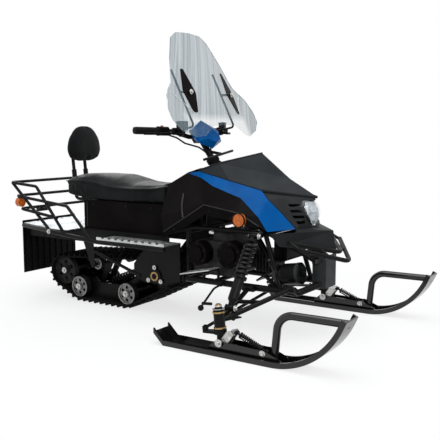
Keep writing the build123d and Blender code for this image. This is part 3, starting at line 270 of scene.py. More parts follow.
# %% Black finishes
def black(name, dark, light, grain, depth, gloss, shine, **more):
    """A grained finish where only the strength of its gleam is set on the shader."""
    return grained(name, dark, light, grain, depth, gloss, {"Specular IOR Level": shine}, **more)


satin = black("satin_black", (0.0024, 0.0018, 0.0018), (0.0050, 0.0038, 0.0036),
              0.0016, 0.00006, (0.30, 0.46), 0.035)
hood_grain = black("hood_grain", (0.0125, 0.0150, 0.0165), (0.0205, 0.0240, 0.0262),
                   0.0022, 0.00022, (0.50, 0.68), 0.11)
nose_grain = black("nose_grain", (0.0080, 0.0090, 0.0095), (0.0135, 0.0148, 0.0155),
                   0.0018, 0.00012, (0.42, 0.58), 0.12)
powder = black("powder_coat", (0.0028, 0.0028, 0.0029), (0.0064, 0.0064, 0.0066),
               0.0011, 0.00005, (0.28, 0.44), 0.11)
ski_black = black("ski_gloss", (0.0030, 0.0028, 0.0028), (0.0068, 0.0064, 0.0062),
                  0.004, 0.00004, (0.07, 0.18), 0.5, stretch=(0.08, 1.0, 1.0))
track_rubber = black("track_rubber", (0.003, 0.003, 0.003), (0.009, 0.0087, 0.0084),
                     0.0025, 0.0003, (0.62, 0.85), 0.07)
flap_rubber = black("flap_rubber", (0.0028, 0.0024, 0.0023), (0.0062, 0.0056, 0.0053),
                    0.0015, 0.0001, (0.45, 0.62), 0.07)
spring_black = black("spring_lacquer", (0.003, 0.003, 0.003), (0.008, 0.008, 0.008),
                     0.003, 0.00005, (0.24, 0.36), 0.16)
grip_rubber = black("grip_rubber", (0.004, 0.004, 0.004), (0.008, 0.008, 0.008),
                    0.0012, 0.0002, (0.55, 0.75), 0.08)
wheel_dark = black("wheel_dark", (0.010, 0.010, 0.0098), (0.030, 0.029, 0.028),
                   0.0022, 0.0001, (0.5, 0.68), 0.12, patch=0.03)
bracket_grey = black("bracket_grey", (0.020, 0.0212, 0.0226), (0.040, 0.0420, 0.0440),
                     0.0016, 0.0001, (0.38, 0.54), 0.15)
print("black finishes made")

# %% [markdown]
# ## Track wheels
# A track wheel is a grey moulded disc inside a black rubber tread. Both are one solid, so the finish asks
# which way a face looks: toward the side it belongs to the disc, and outward it is tread.


# %% Wheel finish
def facing(tree, direction):
    """How far a face looks along a direction, which is a vector or a socket."""
    node = tree.nodes.new("ShaderNodeVectorMath")
    node.operation = "DOT_PRODUCT"
    tree.links.new(tree.nodes.new("ShaderNodeTexCoord").outputs["Normal"], node.inputs[0])
    if isinstance(direction, Vector):
        node.inputs[1].default_value = direction
    else:
        tree.links.new(direction, node.inputs[1])
    return node.outputs["Value"]


def unsigned(tree, value):
    return joined(tree, "ABSOLUTE", value, 0.0)


ACROSS = Vector((0, 1, 0))
wheel_grey, tree, shader, coords = start_finish("track_wheel", {"Specular IOR Level": 0.2})
wear = spread(tree, noise(tree, coords, 0.012), 0.55, 1.0)
worn = joined(tree, "MULTIPLY", wear, unsigned(tree, facing(tree, ACROSS)))
painted(tree, shader, worn,
        [(0.1, (0.006, 0.006, 0.006)), (0.5, (0.15, 0.145, 0.138)), (0.95, (0.31, 0.30, 0.29))])
tree.links.new(spread(tree, worn, 0.75, 0.45, 0.1, 0.8), shader.inputs["Roughness"])
relief(tree, shader, noise(tree, coords, 0.0022), 0.0001)
print("wheel finish made")

# %% [markdown]
# ## Blue stripes
# The stripes and the cowl on the bar are gloss blue mouldings. A thin clear coat over a slightly rougher
# base gives the double gleam, and a very shallow, broad relief bends the reflections as moulded plastic does.

# %% Blue gloss
blue, tree, shader, coords = start_finish("blue_gloss", {
    "Roughness": 0.24, "Coat Weight": 0.045, "Coat Roughness": 0.04, "Specular IOR Level": 0.02})
# The broad noise gives a darker and a lighter blue: partly the moulding's random tone, partly painted light and
# shade for uneven lighting.
painted(tree, shader, noise(tree, coords, 0.25), [(0.3, (0.0002, 0.052, 0.200)), (0.7, (0.0003, 0.096, 0.335))])
relief(tree, shader, noise(tree, coords, 0.012, detail=1.0), 0.00005)
print("blue finish made")

# %% [markdown]
# ## Metals
# Sheet that was dipped in zinc shows flat crystals of several greys, so its colour comes from cells. Bolts
# and brackets are plated steel with fine scratches, the engine is rough casting, and a few rings and nuts
# are brass. These take the recipe of the plastics with Metallic raised, and differ in colour and gloss.

# %% Metal finishes
spangle, tree, shader, coords = start_finish("zinc_spangle", {"Metallic": 0.72})
crystal = cells(tree, coords, 0.016, "Color")
painted(tree, shader, crystal, [(0.1, (0.42, 0.46, 0.48)), (0.9, (0.80, 0.84, 0.86))])
tree.links.new(spread(tree, crystal, 0.24, 0.5, 0.0, 1.0), shader.inputs["Roughness"])
relief(tree, shader, noise(tree, coords, 0.004), 0.00008)

bright = grained("bright_sheet", (0.46, 0.47, 0.47), (0.70, 0.71, 0.71), 0.003, 0.00006, (0.22, 0.42),
                 {"Metallic": 0.85}, stretch=(0.1, 1.0, 1.0), patch=0.05)
zinc = grained("zinc_plate", (0.40, 0.40, 0.39), (0.66, 0.66, 0.64), 0.002, 0.00004, (0.22, 0.38),
               {"Metallic": 0.9}, patch=0.01)
brass = grained("brass", (0.25, 0.155, 0.065), (0.44, 0.30, 0.13), 0.0015, 0.00004, (0.24, 0.40),
                {"Metallic": 0.9}, patch=0.008)
casting = grained("casting", (0.014, 0.0138, 0.0132), (0.046, 0.045, 0.043), 0.0018, 0.0002, (0.48, 0.66),
                  {"Metallic": 0.35, "Specular IOR Level": 0.2}, patch=0.04)
reflector = grained("reflector", (0.80, 0.82, 0.84), (0.92, 0.93, 0.94), 0.01, 0.00001, (0.05, 0.10),
                    {"Metallic": 1.0})
print("metal finishes made")

# %% [markdown]
# ## Windscreen
# The screen is a smoky clear sheet that shows soft upright streaks. They come from noise that is squeezed
# across the sheet and drawn out along one line in it, feeding colour and opacity. Its cut edges carry a
# painted highlight: faces that look away from the sheet's own direction are made denser and paler. The foot
# of the sheet is clearer than the rest between its wings, so the cowl shows through it.


# %% Screen finish
def axis_of(tree, vector, axis):
    """One of a vector's three numbers."""
    node = tree.nodes.new("ShaderNodeSeparateXYZ")
    tree.links.new(vector, node.inputs["Vector"])
    return node.outputs[axis]


SCREEN_SLOPE = math.atan(0.5)
STREAK_LEAN = math.radians(-30)
SCREEN_FOOT = (0.950, 0.985)
SCREEN_WING = (0.21, 0.27)
FOOT_SHARE = (0.35, 1.0)
screen_out = Vector((math.cos(SCREEN_SLOPE), 0.0, math.sin(SCREEN_SLOPE)))
screen_clear, tree, shader, coords = start_finish("clear_sheet", {
    "Roughness": 0.08, "Specular IOR Level": 0.3, "IOR": 1.45})
lean = tree.nodes.new("ShaderNodeMapping")
lean.vector_type = "TEXTURE"
lean.inputs["Rotation"].default_value = (STREAK_LEAN, -SCREEN_SLOPE, 0.0)
tree.links.new(coords, lean.inputs["Vector"])
streak = noise(tree, lean.outputs["Vector"], 0.011, (0.3, 1.0, 0.012), 2.0)
# Painted highlight: faces seen edge-on, the cut edges, are made paler and denser for the light they catch.
edge_highlight = spread(tree, unsigned(tree, facing(tree, screen_out)), 1.0, 0.0, 0.3, 0.6)
streaks_and_edge_highlight = joined(tree, "ADD", spread(tree, streak, 0.0, 0.6), joined(tree, "MULTIPLY", edge_highlight, 0.4))
painted(tree, shader, streaks_and_edge_highlight,
        [(0.05, (0.075, 0.115, 0.135)), (0.55, (0.20, 0.27, 0.305)), (0.95, (0.68, 0.78, 0.82))])
haze_and_edge_highlight = joined(tree, "ADD", spread(tree, streak, 0.47, 0.34), joined(tree, "MULTIPLY", edge_highlight, 0.5))
above = spread(tree, axis_of(tree, coords, "Z"), *FOOT_SHARE, *SCREEN_FOOT)
beside = spread(tree, unsigned(tree, axis_of(tree, coords, "Y")), *FOOT_SHARE, *SCREEN_WING)
tree.links.new(joined(tree, "MULTIPLY", haze_and_edge_highlight, joined(tree, "MAXIMUM", above, beside)), shader.inputs["Alpha"])
print("screen finish made")

# %% [markdown]
# ## Lamps
# Reflectors and lamps are clear plastic over small prisms. As a mesh they would take thousands of faces, so
# cells copy them in colour and relief. The head lamp's shell is one solid with two finishes: bright on the
# faces that look toward its middle, and black on those that look away. The tail lamp is a black box whose
# rear face is red.

# %% Lamp finishes
LAMP_MIDDLE = Vector((0.590, 0.0, 0.541))
LAMP_BLACK = (0.006, 0.006, 0.006)
TAIL_FACE_X = -0.956


def prisms(name, light, dark, size):
    made, tree, shader, coords = start_finish(name, {
        "Roughness": 0.16, "Coat Weight": 0.3, "Specular IOR Level": 0.3})
    prism = cells(tree, coords, size)
    painted(tree, shader, prism, [(0.1, light), (0.7, dark)])
    relief(tree, shader, prism, size * 0.2)
    return made


amber = prisms("amber_lens", (0.70, 0.17, 0.006), (0.40, 0.072, 0.003), 0.006)
red_plain = prisms("red_plastic", (0.42, 0.012, 0.008), (0.22, 0.006, 0.004), 0.004)

lamp_clear, tree, shader, coords = start_finish("lamp_glass", {
    "Roughness": 0.04, "Base Color": (0.86, 0.90, 0.93, 1.0), "Alpha": 0.22, "IOR": 1.5,
    "Specular IOR Level": 0.3})
relief(tree, shader, waves(tree, coords, "Y", 26.0), 0.0016)

lamp_shell, tree, shader, coords = start_finish("lamp_shell", {"Roughness": 0.22})
to_middle = tree.nodes.new("ShaderNodeVectorMath")
to_middle.operation = "SUBTRACT"
to_middle.inputs[0].default_value = LAMP_MIDDLE
tree.links.new(coords, to_middle.inputs[1])
inside = spread(tree, facing(tree, to_middle.outputs["Vector"]), 0.0, 1.0, 0.002, 0.004)
painted(tree, shader, inside, [(0.2, LAMP_BLACK), (0.8, (0.80, 0.83, 0.85))])
tree.links.new(inside, shader.inputs["Metallic"])
relief(tree, shader, noise(tree, coords, 0.006), 0.00005)

tail_red, tree, shader, coords = start_finish("tail_lamp", {"Roughness": 0.2, "Specular IOR Level": 0.2})
behind = spread(tree, axis_of(tree, coords, "X"), 1.0, 0.0, TAIL_FACE_X - 0.001, TAIL_FACE_X)
painted(tree, shader, behind, [(0.2, LAMP_BLACK), (0.8, (0.36, 0.008, 0.006))])
relief(tree, shader, cells(tree, coords, 0.005), 0.0008)
print("lamp finishes made")

# %% [markdown]
# ## Vinyl and cloth
# The long seat is covered in vinyl: small rounded cells with a satin gleam. The backrest has a woven cover,
# which two crossed sets of waves make, one over and one under, with a soft sheen at grazing angles.

# %% Soft finishes
THREAD_SCALE = 130.0
vinyl, tree, shader, coords = start_finish("seat_vinyl", {"Specular IOR Level": 0.09, "Sheen Weight": 0.02})
pebble = cells(tree, coords, 0.0022)
painted(tree, shader, noise(tree, coords, 0.09),
        [(0.3, (0.0042, 0.0046, 0.0050)), (0.7, (0.0085, 0.0094, 0.0102))])
tree.links.new(spread(tree, pebble, 0.36, 0.52, 0.0, 0.7), shader.inputs["Roughness"])
relief(tree, shader, pebble, 0.00025)

weave, tree, shader, coords = start_finish("backrest_weave", {
    "Roughness": 0.92, "Specular IOR Level": 0.06, "Sheen Weight": 0.10, "Sheen Roughness": 0.5})
threads = [waves(tree, coords, direction, THREAD_SCALE, 0.6) for direction in ("Y", "Z")]
crossed = joined(tree, "MULTIPLY", *threads)
painted(tree, shader, crossed, [(0.1, (0.0040, 0.0042, 0.0046)), (0.8, (0.0098, 0.0104, 0.0112))])
relief(tree, shader, crossed, 0.0005)
print("soft finishes made")

# %% [markdown]
# ## Dressing the solids
# A solid whose shape is right only changes its finish. The table names each finish once, with the solids
# that wear it. The seat, the backrest, the stripes and the springs are replaced further on.

# %% Finish of each solid
DRESS = [
    # Painted shade: battery_box is a black mass that fills the engine bay where it lies in shade.
    (satin, ["side_panels", "console", "seat_box", "engine_covers", "hand_controls", "screen_plates",
             "fuel_tank", "battery_box"]),
    (hood_grain, ["hood"]),
    (nose_grain, ["nose"]),
    (blue, ["stripes", "cowl"]),
    # Painted shade: the tunnel wears black powder coat so that its sides under the rear deck read as shade.
    (powder, ["frame", "bumper", "rack", "a_arms", "backrest_posts", "steering_column", "handlebar",
              "skid_rails", "skid_arms", "drive_plates", "drive_axle", "tie_rod_left", "tie_rod_right",
              "gear_lever", "exhaust", "tunnel", "spindle_left", "spindle_right"]),
    (bracket_grey, ["bulkhead", "instrument"]),
    (ski_black, ["ski_left", "ski_right"]),
    (track_rubber, ["track"]),
    (flap_rubber, ["mud_flap"]),
    (spring_black, ["shocks", "skid_damper", "ski_damper_left", "ski_damper_right"]),
    (grip_rubber, ["grips", "column_boot", "cables"]),
    (wheel_grey, ["idler_wheels"]),
    (wheel_dark, ["tail_wheels"]),
    (spangle, ["rear_deck"]),
    (bright, ["running_boards", "foot_rests"]),
    (zinc, ["ski_saddle_left", "ski_saddle_right"]),
    (casting, ["engine"]),
    (screen_clear, ["windscreen"]),
    (lamp_clear, ["headlamp_lens"]),
    (lamp_shell, ["headlamp"]),
    (amber, ["marker_lamps"]),
    (tail_red, ["tail_lamp"]),
    (vinyl, ["seat"]),
    (weave, ["backrest"]),
]
for finish, names in DRESS:
    for name in names:
        for material_slot in nodes[name].material_slots:
            material_slot.material = finish
dressed = {name for finish, names in DRESS for name in names}
print("solids dressed:", len(dressed), "left plain:", sorted(set(nodes) - dressed))

# %% [markdown]
# ## Tools for new pieces
# Every new piece is a bmesh that turns into one object at the origin, rides on a body and takes a finish. A
# part is shaped upright at the origin, then carried to its place and joined to its piece. Small parts that
# share a finish and a body are one object in this way, which keeps the list of pieces short.

# %% Piece helpers
SMOOTH_ANGLE = math.radians(38)


def finish_piece(name, mesh_edit, finish, body):
    """Makes an object of a bmesh, which rides on a body."""
    bmesh.ops.recalc_face_normals(mesh_edit, faces=mesh_edit.faces)
    data = bpy.data.meshes.new(name)
    mesh_edit.to_mesh(data)
    mesh_edit.free()
    data.materials.append(finish)
    data.polygons.foreach_set("use_smooth", [True] * len(data.polygons))
    data.set_sharp_from_angle(angle=SMOOTH_ANGLE)
    made = bpy.data.objects.new(name, data)
    bpy.context.collection.objects.link(made)
    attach(made, body)
    return made


def join_part(whole, part, matrix):
    """Carries a part to its place and adds it to a piece."""
    bmesh.ops.transform(part, matrix=matrix, verts=part.verts)
    shell = bpy.data.meshes.new("part")
    part.to_mesh(shell)
    part.free()
    whole.from_mesh(shell)
    bpy.data.meshes.remove(shell)


def side_of(point, side):
    """A point of the left side, or its mirror image where side is -1."""
    return Vector((point[0], point[1] * side, point[2]))


print("piece helpers ready")

# %% [markdown]
# ## Seat
# The seat is one long foam moulding under stretched vinyl, with a raised place for a passenger and a dip for
# the rider. A grid is bent to its crest and edge lines, its rim is pulled down and closed, and cloth
# pressure then swells it. The sewn edge stays where it was, so the cover puffs out above and below it.

# %% Seat shape
SEAT_CREST = [(-0.748, 0.658), (-0.72, 0.668), (-0.565, 0.674), (-0.42, 0.673), (-0.358, 0.658),
              (-0.305, 0.642), (-0.24, 0.636), (-0.16, 0.637), (-0.096, 0.646)]
SEAT_EDGE = [(-0.748, 0.642), (-0.64, 0.650), (-0.524, 0.640), (-0.469, 0.625), (-0.371, 0.619),
             (-0.266, 0.619), (-0.177, 0.622), (-0.121, 0.630), (-0.096, 0.636)]
SEAT_WIDTH = [(-0.748, 0.142), (-0.70, 0.150), (-0.28, 0.150), (-0.20, 0.127), (-0.096, 0.124)]
SEAT_BASE = [(-0.748, 0.572), (-0.66, 0.562), (-0.65, 0.552), (-0.096, 0.552)]
SEAT_CROWN = 2.2


def read_line(line, x):
    """The height of a line of points at x."""
    for (x_low, low), (x_high, high) in zip(line, line[1:]):
        if x <= x_high:
            share = max(0.0, (x - x_low) / (x_high - x_low))
            return low + (high - low) * share
    return line[-1][1]


seat_mesh = bmesh.new()
bmesh.ops.create_grid(seat_mesh, x_segments=60, y_segments=24, size=0.5)
seat_rear, seat_front = SEAT_CREST[0][0], SEAT_CREST[-1][0]
for vert in seat_mesh.verts:
    x = seat_rear + (seat_front - seat_rear) * (vert.co.x + 0.5)
    across = vert.co.y * 2
    crest, edge = read_line(SEAT_CREST, x), read_line(SEAT_EDGE, x)
    height = edge + (crest - edge) * (1 - abs(across) ** SEAT_CROWN)
    vert.co = (x, across * read_line(SEAT_WIDTH, x), height)
rim = [edge for edge in seat_mesh.edges if edge.is_boundary]
skirt = bmesh.ops.extrude_edge_only(seat_mesh, edges=rim)["geom"]
for vert in [item for item in skirt if isinstance(item, bmesh.types.BMVert)]:
    vert.co.z = read_line(SEAT_BASE, vert.co.x)
bmesh.ops.holes_fill(seat_mesh, edges=[edge for edge in seat_mesh.edges if edge.is_boundary], sides=0)
print("seat grid faces:", len(seat_mesh.faces))

# %% [markdown]
# ## Filling a cover
# A cover could be puffed up by hand, but cloth pressure gives the even fullness of foam on its own. A remesh
# first gives even squares, so that pressure acts the same everywhere. The swollen places are then read back
# and each point's move is cut short: by a cap, near a sewn line, and where the pad rests on something.

# %% Cloth filling
VOXEL = 0.006
PRESSURE = 4.0
LAST_FRAME = 20


def evaluated_points(piece):
    seen = piece.evaluated_get(bpy.context.evaluated_depsgraph_get())
    return [point.co.copy() for point in seen.data.vertices]


def remade(piece, modifier):
    """Puts a modifier's result into the piece's own mesh."""
    seen = piece.evaluated_get(bpy.context.evaluated_depsgraph_get())
    fresh = bpy.data.meshes.new_from_object(seen)
    piece.modifiers.remove(modifier)
    piece.data = fresh


def filled(piece, cap, hold, limit):
    """Swells a closed cover. hold says how much of its move a point keeps, and limit where it stops."""
    even = piece.modifiers.new("even", "REMESH")
    even.mode = "VOXEL"
    even.voxel_size = VOXEL
    even.use_smooth_shade = True
    remade(piece, even)
    start = [point.co.copy() for point in piece.data.vertices]
    filling = piece.modifiers.new("filling", "CLOTH")
    filling.settings.use_pressure = True
    filling.settings.uniform_pressure_force = PRESSURE
    filling.settings.effector_weights.gravity = 0.0
    filling.point_cache.frame_start = 1
    filling.point_cache.frame_end = LAST_FRAME
    for number in range(1, LAST_FRAME + 1):
        scene.frame_set(number)
    swollen = evaluated_points(piece)
    piece.modifiers.remove(filling)
    scene.frame_set(1)
    moves = [end - begin for begin, end in zip(start, swollen)]
    longest = max(move.length for move in moves)
    for point, begin, move in zip(piece.data.vertices, start, moves):
        if move.length > cap:
            move = move * (cap / move.length)
        point.co = limit(begin + move * hold(begin))
    round_off = piece.modifiers.new("round_off", "SUBSURF")
    round_off.levels = 1
    round_off.render_levels = 1
    remade(piece, round_off)
    piece.data.polygons.foreach_set("use_smooth", [True] * len(piece.data.polygons))
    print(piece.name, "points", len(piece.data.vertices), "longest move", round(longest, 4))


print("cloth filling ready")

# %% [markdown]
# ## Seat cover
# The vinyl is sewn together along both edges of the seat, and the foam can't lift that line. A point on it
# keeps nothing of its move, and one a finger's width off keeps all, which leaves a crease. The cover also
# stops at the console in front and on the box below, where foam would be pressed flat.

# %% Seat filling
SEAT_CAP = 0.008
SEAT_FRONT = -0.0875
SEAT_REST = 0.5505
SEAM_REACH = 0.016
SEAM_EASE = 1.5
HOLD_DROP = 0.002


def seat_hold(point):
    """Nothing on the sewn line, all of the move one reach away."""
    width = read_line(SEAT_WIDTH, point.x)
    off_line = math.hypot(abs(point.y) - width, point.z - read_line(SEAT_EDGE, point.x) + HOLD_DROP)
    return min(1.0, off_line / SEAM_REACH) ** SEAM_EASE


def seat_limit(point):
    return Vector((min(point.x, SEAT_FRONT), point.y, max(point.z, SEAT_REST)))


seat = finish_piece("seat_cushion", seat_mesh, vinyl, "chassis")
filled(seat, SEAT_CAP, seat_hold, seat_limit)
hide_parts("seat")
print("seat height", round(max(point.co.z for point in seat.data.vertices), 3))

# %% [markdown]
# ## Seat welt
# A thin welt covers the stitches. It could be turned in short lengths, but a curve with a round bevel follows
# the whole line at once. The curve is made a mesh straight away, so that it can join a piece.

# %% Welt along the seat
SEAM_RADIUS = 0.0022
SEAM_OUT = 0.0012
SEAM_DROP = 0.001


def piping(whole, points, radius, smooth=False):
    """A round cord through the points."""
    line = bpy.data.curves.new("run", "CURVE")
    line.dimensions = "3D"
    spline = line.splines.new("NURBS" if smooth else "POLY")
    spline.points.add(len(points) - 1)
    for place, point in zip(spline.points, points):
        place.co = (*point, 1.0)
    spline.order_u = 3
    spline.use_endpoint_u = True
    line.bevel_depth = radius
    line.bevel_resolution = 2
    line.use_fill_caps = True
    holder = bpy.data.objects.new("run", line)
    shell = bpy.data.meshes.new_from_object(holder)
    whole.from_mesh(shell)
    bpy.data.meshes.remove(shell)
    bpy.data.objects.remove(holder)
    bpy.data.curves.remove(line)


seat_seam = bmesh.new()
for side in (-1, 1):
    seam_line = [(x, side * (read_line(SEAT_WIDTH, x) + SEAM_OUT), z - SEAM_DROP) for x, z in SEAT_EDGE]
    piping(seat_seam, seam_line, SEAM_RADIUS, True)
finish_piece("seat_seam", seat_seam, vinyl, "chassis")
print("seat welt made through", len(SEAT_EDGE), "points a side")

# %% [markdown]
# ## Backrest
# The passenger's backrest is an egg-shaped pad on two posts, fuller below than above. A ball is drawn out to
# that outline, flattened like a pillow and swollen in the same way, with a flat place where the posts enter.

# %% Backrest pad
PAD_MIDDLE = Vector((-0.751, 0.0, 0.832))
PAD_HALF_THICK = 0.026
PAD_OUTLINE = [(0.0, 0.930), (0.048, 0.925), (0.088, 0.890), (0.114, 0.842), (0.119, 0.799), (0.102, 0.761),
               (0.060, 0.745), (0.0, 0.742)]
PAD_SQUARENESS = 0.62
PAD_CAP = 0.006
PAD_REST = 0.739
spokes = [(y, z - PAD_MIDDLE.z) for y, z in PAD_OUTLINE]
outline_turns = sorted((math.atan2(up, out), math.hypot(out, up)) for out, up in spokes)

pad_mesh = bmesh.new()
bmesh.ops.create_uvsphere(pad_mesh, u_segments=64, v_segments=32, radius=1.0,
                          matrix=Matrix.Rotation(math.pi / 2, 4, "Y"))
for vert in pad_mesh.verts:
    reach = math.hypot(vert.co.y, vert.co.z)
    turn = math.atan2(vert.co.z, abs(vert.co.y))
    depth = math.copysign(abs(vert.co.x) ** PAD_SQUARENESS, vert.co.x) * PAD_HALF_THICK
    radius = read_line(outline_turns, turn) * reach ** PAD_SQUARENESS
    spoke = radius / reach if reach > 1e-9 else 0.0
    vert.co = PAD_MIDDLE + Vector((depth, vert.co.y * spoke, vert.co.z * spoke))
backrest = finish_piece("backrest_pad", pad_mesh, weave, "chassis")


def pad_hold(point):
    """All of the move, since the pad has no sewn line."""
    return 1.0


def pad_limit(point):
    return Vector((point.x, point.y, max(point.z, PAD_REST)))


filled(backrest, PAD_CAP, pad_hold, pad_limit)
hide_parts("backrest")
print("backrest top", round(max(point.co.z for point in backrest.data.vertices), 3))

# %% [markdown]
# ## Stripes
# A stripe is one smooth moulding that twists from the top of the hood to the nose. The solid has flat
# triangles, which show in gloss, so its two edge lines are bridged here and the bridge divided, to let the
# shading turn slowly. The edges stay where the solid has them, so that the panels still meet.

# %% Blue stripes
STRIPE_TOP = [(0.048, -0.1272, 0.7065), (0.106, -0.130, 0.7165), (0.280, -0.140, 0.6785),
              (0.445, -0.125, 0.6395), (0.480, -0.138, 0.606), (0.550, -0.132, 0.545), (0.612, -0.1225, 0.4815)]
STRIPE_LOW = [(0.046, -0.1275, 0.7045), (0.135, -0.150, 0.688), (0.210, -0.170, 0.655),
              (0.370, -0.182, 0.607), (0.467, -0.195, 0.530), (0.515, -0.200, 0.470), (0.611, -0.1235, 0.4795)]
STRIPE_WALL = 0.0045
stripe_mesh = bmesh.new()
for side in (1, -1):
    sheet = bmesh.new()
    loops = []
    for line in (STRIPE_TOP, STRIPE_LOW):
        corners = [sheet.verts.new(side_of(point, side)) for point in line]
        loops += [sheet.edges.new(two) for two in zip(corners, corners[1:])]
    bmesh.ops.bridge_loops(sheet, edges=loops)
    bmesh.ops.subdivide_edges(sheet, edges=sheet.edges[:], cuts=5, use_grid_fill=True)
    bmesh.ops.smooth_vert(sheet, verts=[vert for vert in sheet.verts if not vert.is_boundary], factor=0.5,
                          use_axis_x=True, use_axis_y=True, use_axis_z=True)
    bmesh.ops.recalc_face_normals(sheet, faces=sheet.faces)
    if sum(face.normal.y * side for face in sheet.faces) > 0:
        bmesh.ops.reverse_faces(sheet, faces=sheet.faces)
    bmesh.ops.solidify(sheet, geom=sheet.faces[:], thickness=STRIPE_WALL)
    join_part(stripe_mesh, sheet, Matrix())
stripes = finish_piece("stripe_mouldings", stripe_mesh, blue, "chassis")
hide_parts("stripes")
print("stripe faces:", len(stripes.data.polygons))

# %% [markdown]
# ## Turned parts
# Sleeves, cups, nuts and washers come off a lathe, so here a few points are spun about an axis. A spring could
# be a curve with a bevel, but a small ring spun with a rise at each step gives a known count of faces.

# %% Turned parts and coils
UPRIGHT = Vector((0, 0, 1))
COIL_STEPS = 18
WIRE_SIDES = 8


def along(start, direction):
    """The matrix that carries the upright Z axis at the origin to a start and a direction."""
    return Matrix.Translation(Vector(start)) @ Vector(direction).to_track_quat("Z", "Y").to_matrix().to_4x4()


def turned(whole, profile, start, direction, steps=24):
    """Spins (radius, height) points about a line."""
    part = bmesh.new()
    corners = [part.verts.new((radius, 0.0, height)) for radius, height in profile]
    edges = [part.edges.new(two) for two in zip(corners, corners[1:])]
    bmesh.ops.spin(part, geom=corners + edges, cent=(0, 0, 0), axis=UPRIGHT, angle=2 * math.pi, steps=steps,
                   use_merge=True)
    bmesh.ops.remove_doubles(part, verts=part.verts, dist=1e-6)
    join_part(whole, part, along(start, direction))


def coil(whole, start, end, radius, wire, turns):
    """A spring of round wire wound from start to end."""
    part = bmesh.new()
    run = Vector(end) - Vector(start)
    stand = Matrix.Translation((radius, 0, wire)) @ Matrix.Rotation(math.pi / 2, 4, "X")
    ring = bmesh.ops.create_circle(part, cap_ends=False, segments=WIRE_SIDES, radius=wire,
                                   matrix=stand)["verts"]
    steps = turns * COIL_STEPS
    rise = (run.length - 2 * wire) / steps
    bmesh.ops.spin(part, geom=ring + part.edges[:], cent=(0, 0, 0), axis=UPRIGHT, angle=2 * math.pi * turns,
                   steps=steps, dvec=(0, 0, rise), use_merge=False)
    bmesh.ops.holes_fill(part, edges=[edge for edge in part.edges if edge.is_boundary], sides=WIRE_SIDES)
    join_part(whole, part, along(start, run))


print("turning helpers ready")

# %% [markdown]
# ## Bolt heads
# A bolt shows a hexagon head on a round washer. The head is a six-sided cone with two equal ends. Its edges
# are eased, because a sharp edge catches no light and would look drawn.


# %% Bolt helper
def bolt(whole, place, direction, radius):
    """A hexagon head with eased corners on a washer."""
    wide = radius * 1.6
    washer = [(0.0, -0.001), (wide, -0.001), (wide, 0.0008), (radius * 1.45, 0.0014), (0.0, 0.0014)]
    turned(whole, washer, place, direction, 16)
    part = bmesh.new()
    height = radius * 0.85
    lift = Matrix.Translation((0, 0, 0.0012 + height / 2))
    bmesh.ops.create_cone(part, cap_ends=True, segments=6, radius1=radius, radius2=radius, depth=height,
                          matrix=lift)
    bmesh.ops.bevel(part, geom=part.edges[:], offset=radius * 0.1, affect="EDGES", segments=2, profile=0.5,
                    material=-1)
    join_part(whole, part, along(place, direction))


print("bolt helper ready")

# %% [markdown]
# ## Shocks
# Each front shock is a long black sleeve below and a coil above, between two cups. The solid stands in for
# the coil with ridges, so a spun sleeve and a real wound wire replace it. Both eyes keep their cross bolts.

# %% Front shocks
SHOCK_FOOT = (0.470, 0.425, 0.176)
SHOCK_TOP = (0.478, 0.250, 0.455)
shock_run = (Vector(SHOCK_TOP) - Vector(SHOCK_FOOT)).length
SPRING_LOW = shock_run * 0.43
SPRING_HIGH = shock_run * 0.90
SLEEVE_END = shock_run - 0.010
SLEEVE = [(0.0, 0.010), (0.012, 0.010), (0.0135, 0.024), (0.0205, 0.033), (0.0215, 0.040),
          (0.0215, SPRING_LOW - 0.016), (0.0295, SPRING_LOW - 0.012), (0.0300, SPRING_LOW - 0.001),
          (0.0195, SPRING_LOW), (0.0195, SPRING_LOW + 0.03), (0.0085, SPRING_LOW + 0.032),
          (0.0085, SPRING_HIGH), (0.0290, SPRING_HIGH + 0.001), (0.0290, SPRING_HIGH + 0.008),
          (0.013, SPRING_HIGH + 0.014), (0.012, SLEEVE_END), (0.0, SLEEVE_END)]
SPRING = {"radius": 0.0235, "wire": 0.0062, "turns": 7}
EYE_HALF = 0.0147
EYE_BOLT = 0.0085
BOLT_HALF = 0.026
HEAD_SINK = 0.001
FORWARD = Vector((1, 0, 0))
EYE_RING = [(0.0, -EYE_HALF), (0.0105, -EYE_HALF), (0.012, -EYE_HALF + 0.002), (0.012, EYE_HALF - 0.002),
            (0.0105, EYE_HALF), (0.0, EYE_HALF)]
BOLT_ROD = [(0.0, -BOLT_HALF), (0.006, -BOLT_HALF), (0.006, BOLT_HALF), (0.0, BOLT_HALF)]
sleeves = bmesh.new()
wires = bmesh.new()
shock_bolts = bmesh.new()
for side in (-1, 1):
    foot, top = side_of(SHOCK_FOOT, side), side_of(SHOCK_TOP, side)
    unit = (top - foot).normalized()
    turned(sleeves, SLEEVE, foot, unit)
    for eye in (foot, top):
        turned(sleeves, EYE_RING, eye, FORWARD)
        turned(shock_bolts, BOLT_ROD, eye, FORWARD, 12)
        bolt(shock_bolts, eye + FORWARD * (BOLT_HALF - HEAD_SINK), FORWARD, EYE_BOLT)
    coil(wires, foot + unit * SPRING_LOW, foot + unit * SPRING_HIGH, **SPRING)
shock_sleeves = finish_piece("shock_sleeves", sleeves, powder, "chassis")
finish_piece("shock_springs", wires, spring_black, "chassis")
finish_piece("shock_bolts", shock_bolts, zinc, "chassis")
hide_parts("shocks")
print("shock length", round(shock_run, 3))

# %% [markdown]
# ## Dampers on the skis and under the track
# A short coil over a rod keeps each ski's tip up, and a longer one works the track's arms. They are made as
# the shocks are: a turned core with two cups, and a wire between them.

# %% Ski and track dampers
SIDES = ((-1, "right"), (1, "left"))
SKI_DAMPER = ((0.680, 0.490, 0.040), (0.5445, 0.490, 0.096))
SKI_COIL = {"radius": 0.0138, "wire": 0.0024, "turns": 11}
SKID_DAMPER = ((-0.610, 0.0, 0.072), (-0.230, 0.0, 0.215))
SKID_COIL = {"radius": 0.0275, "wire": 0.0050, "turns": 13}


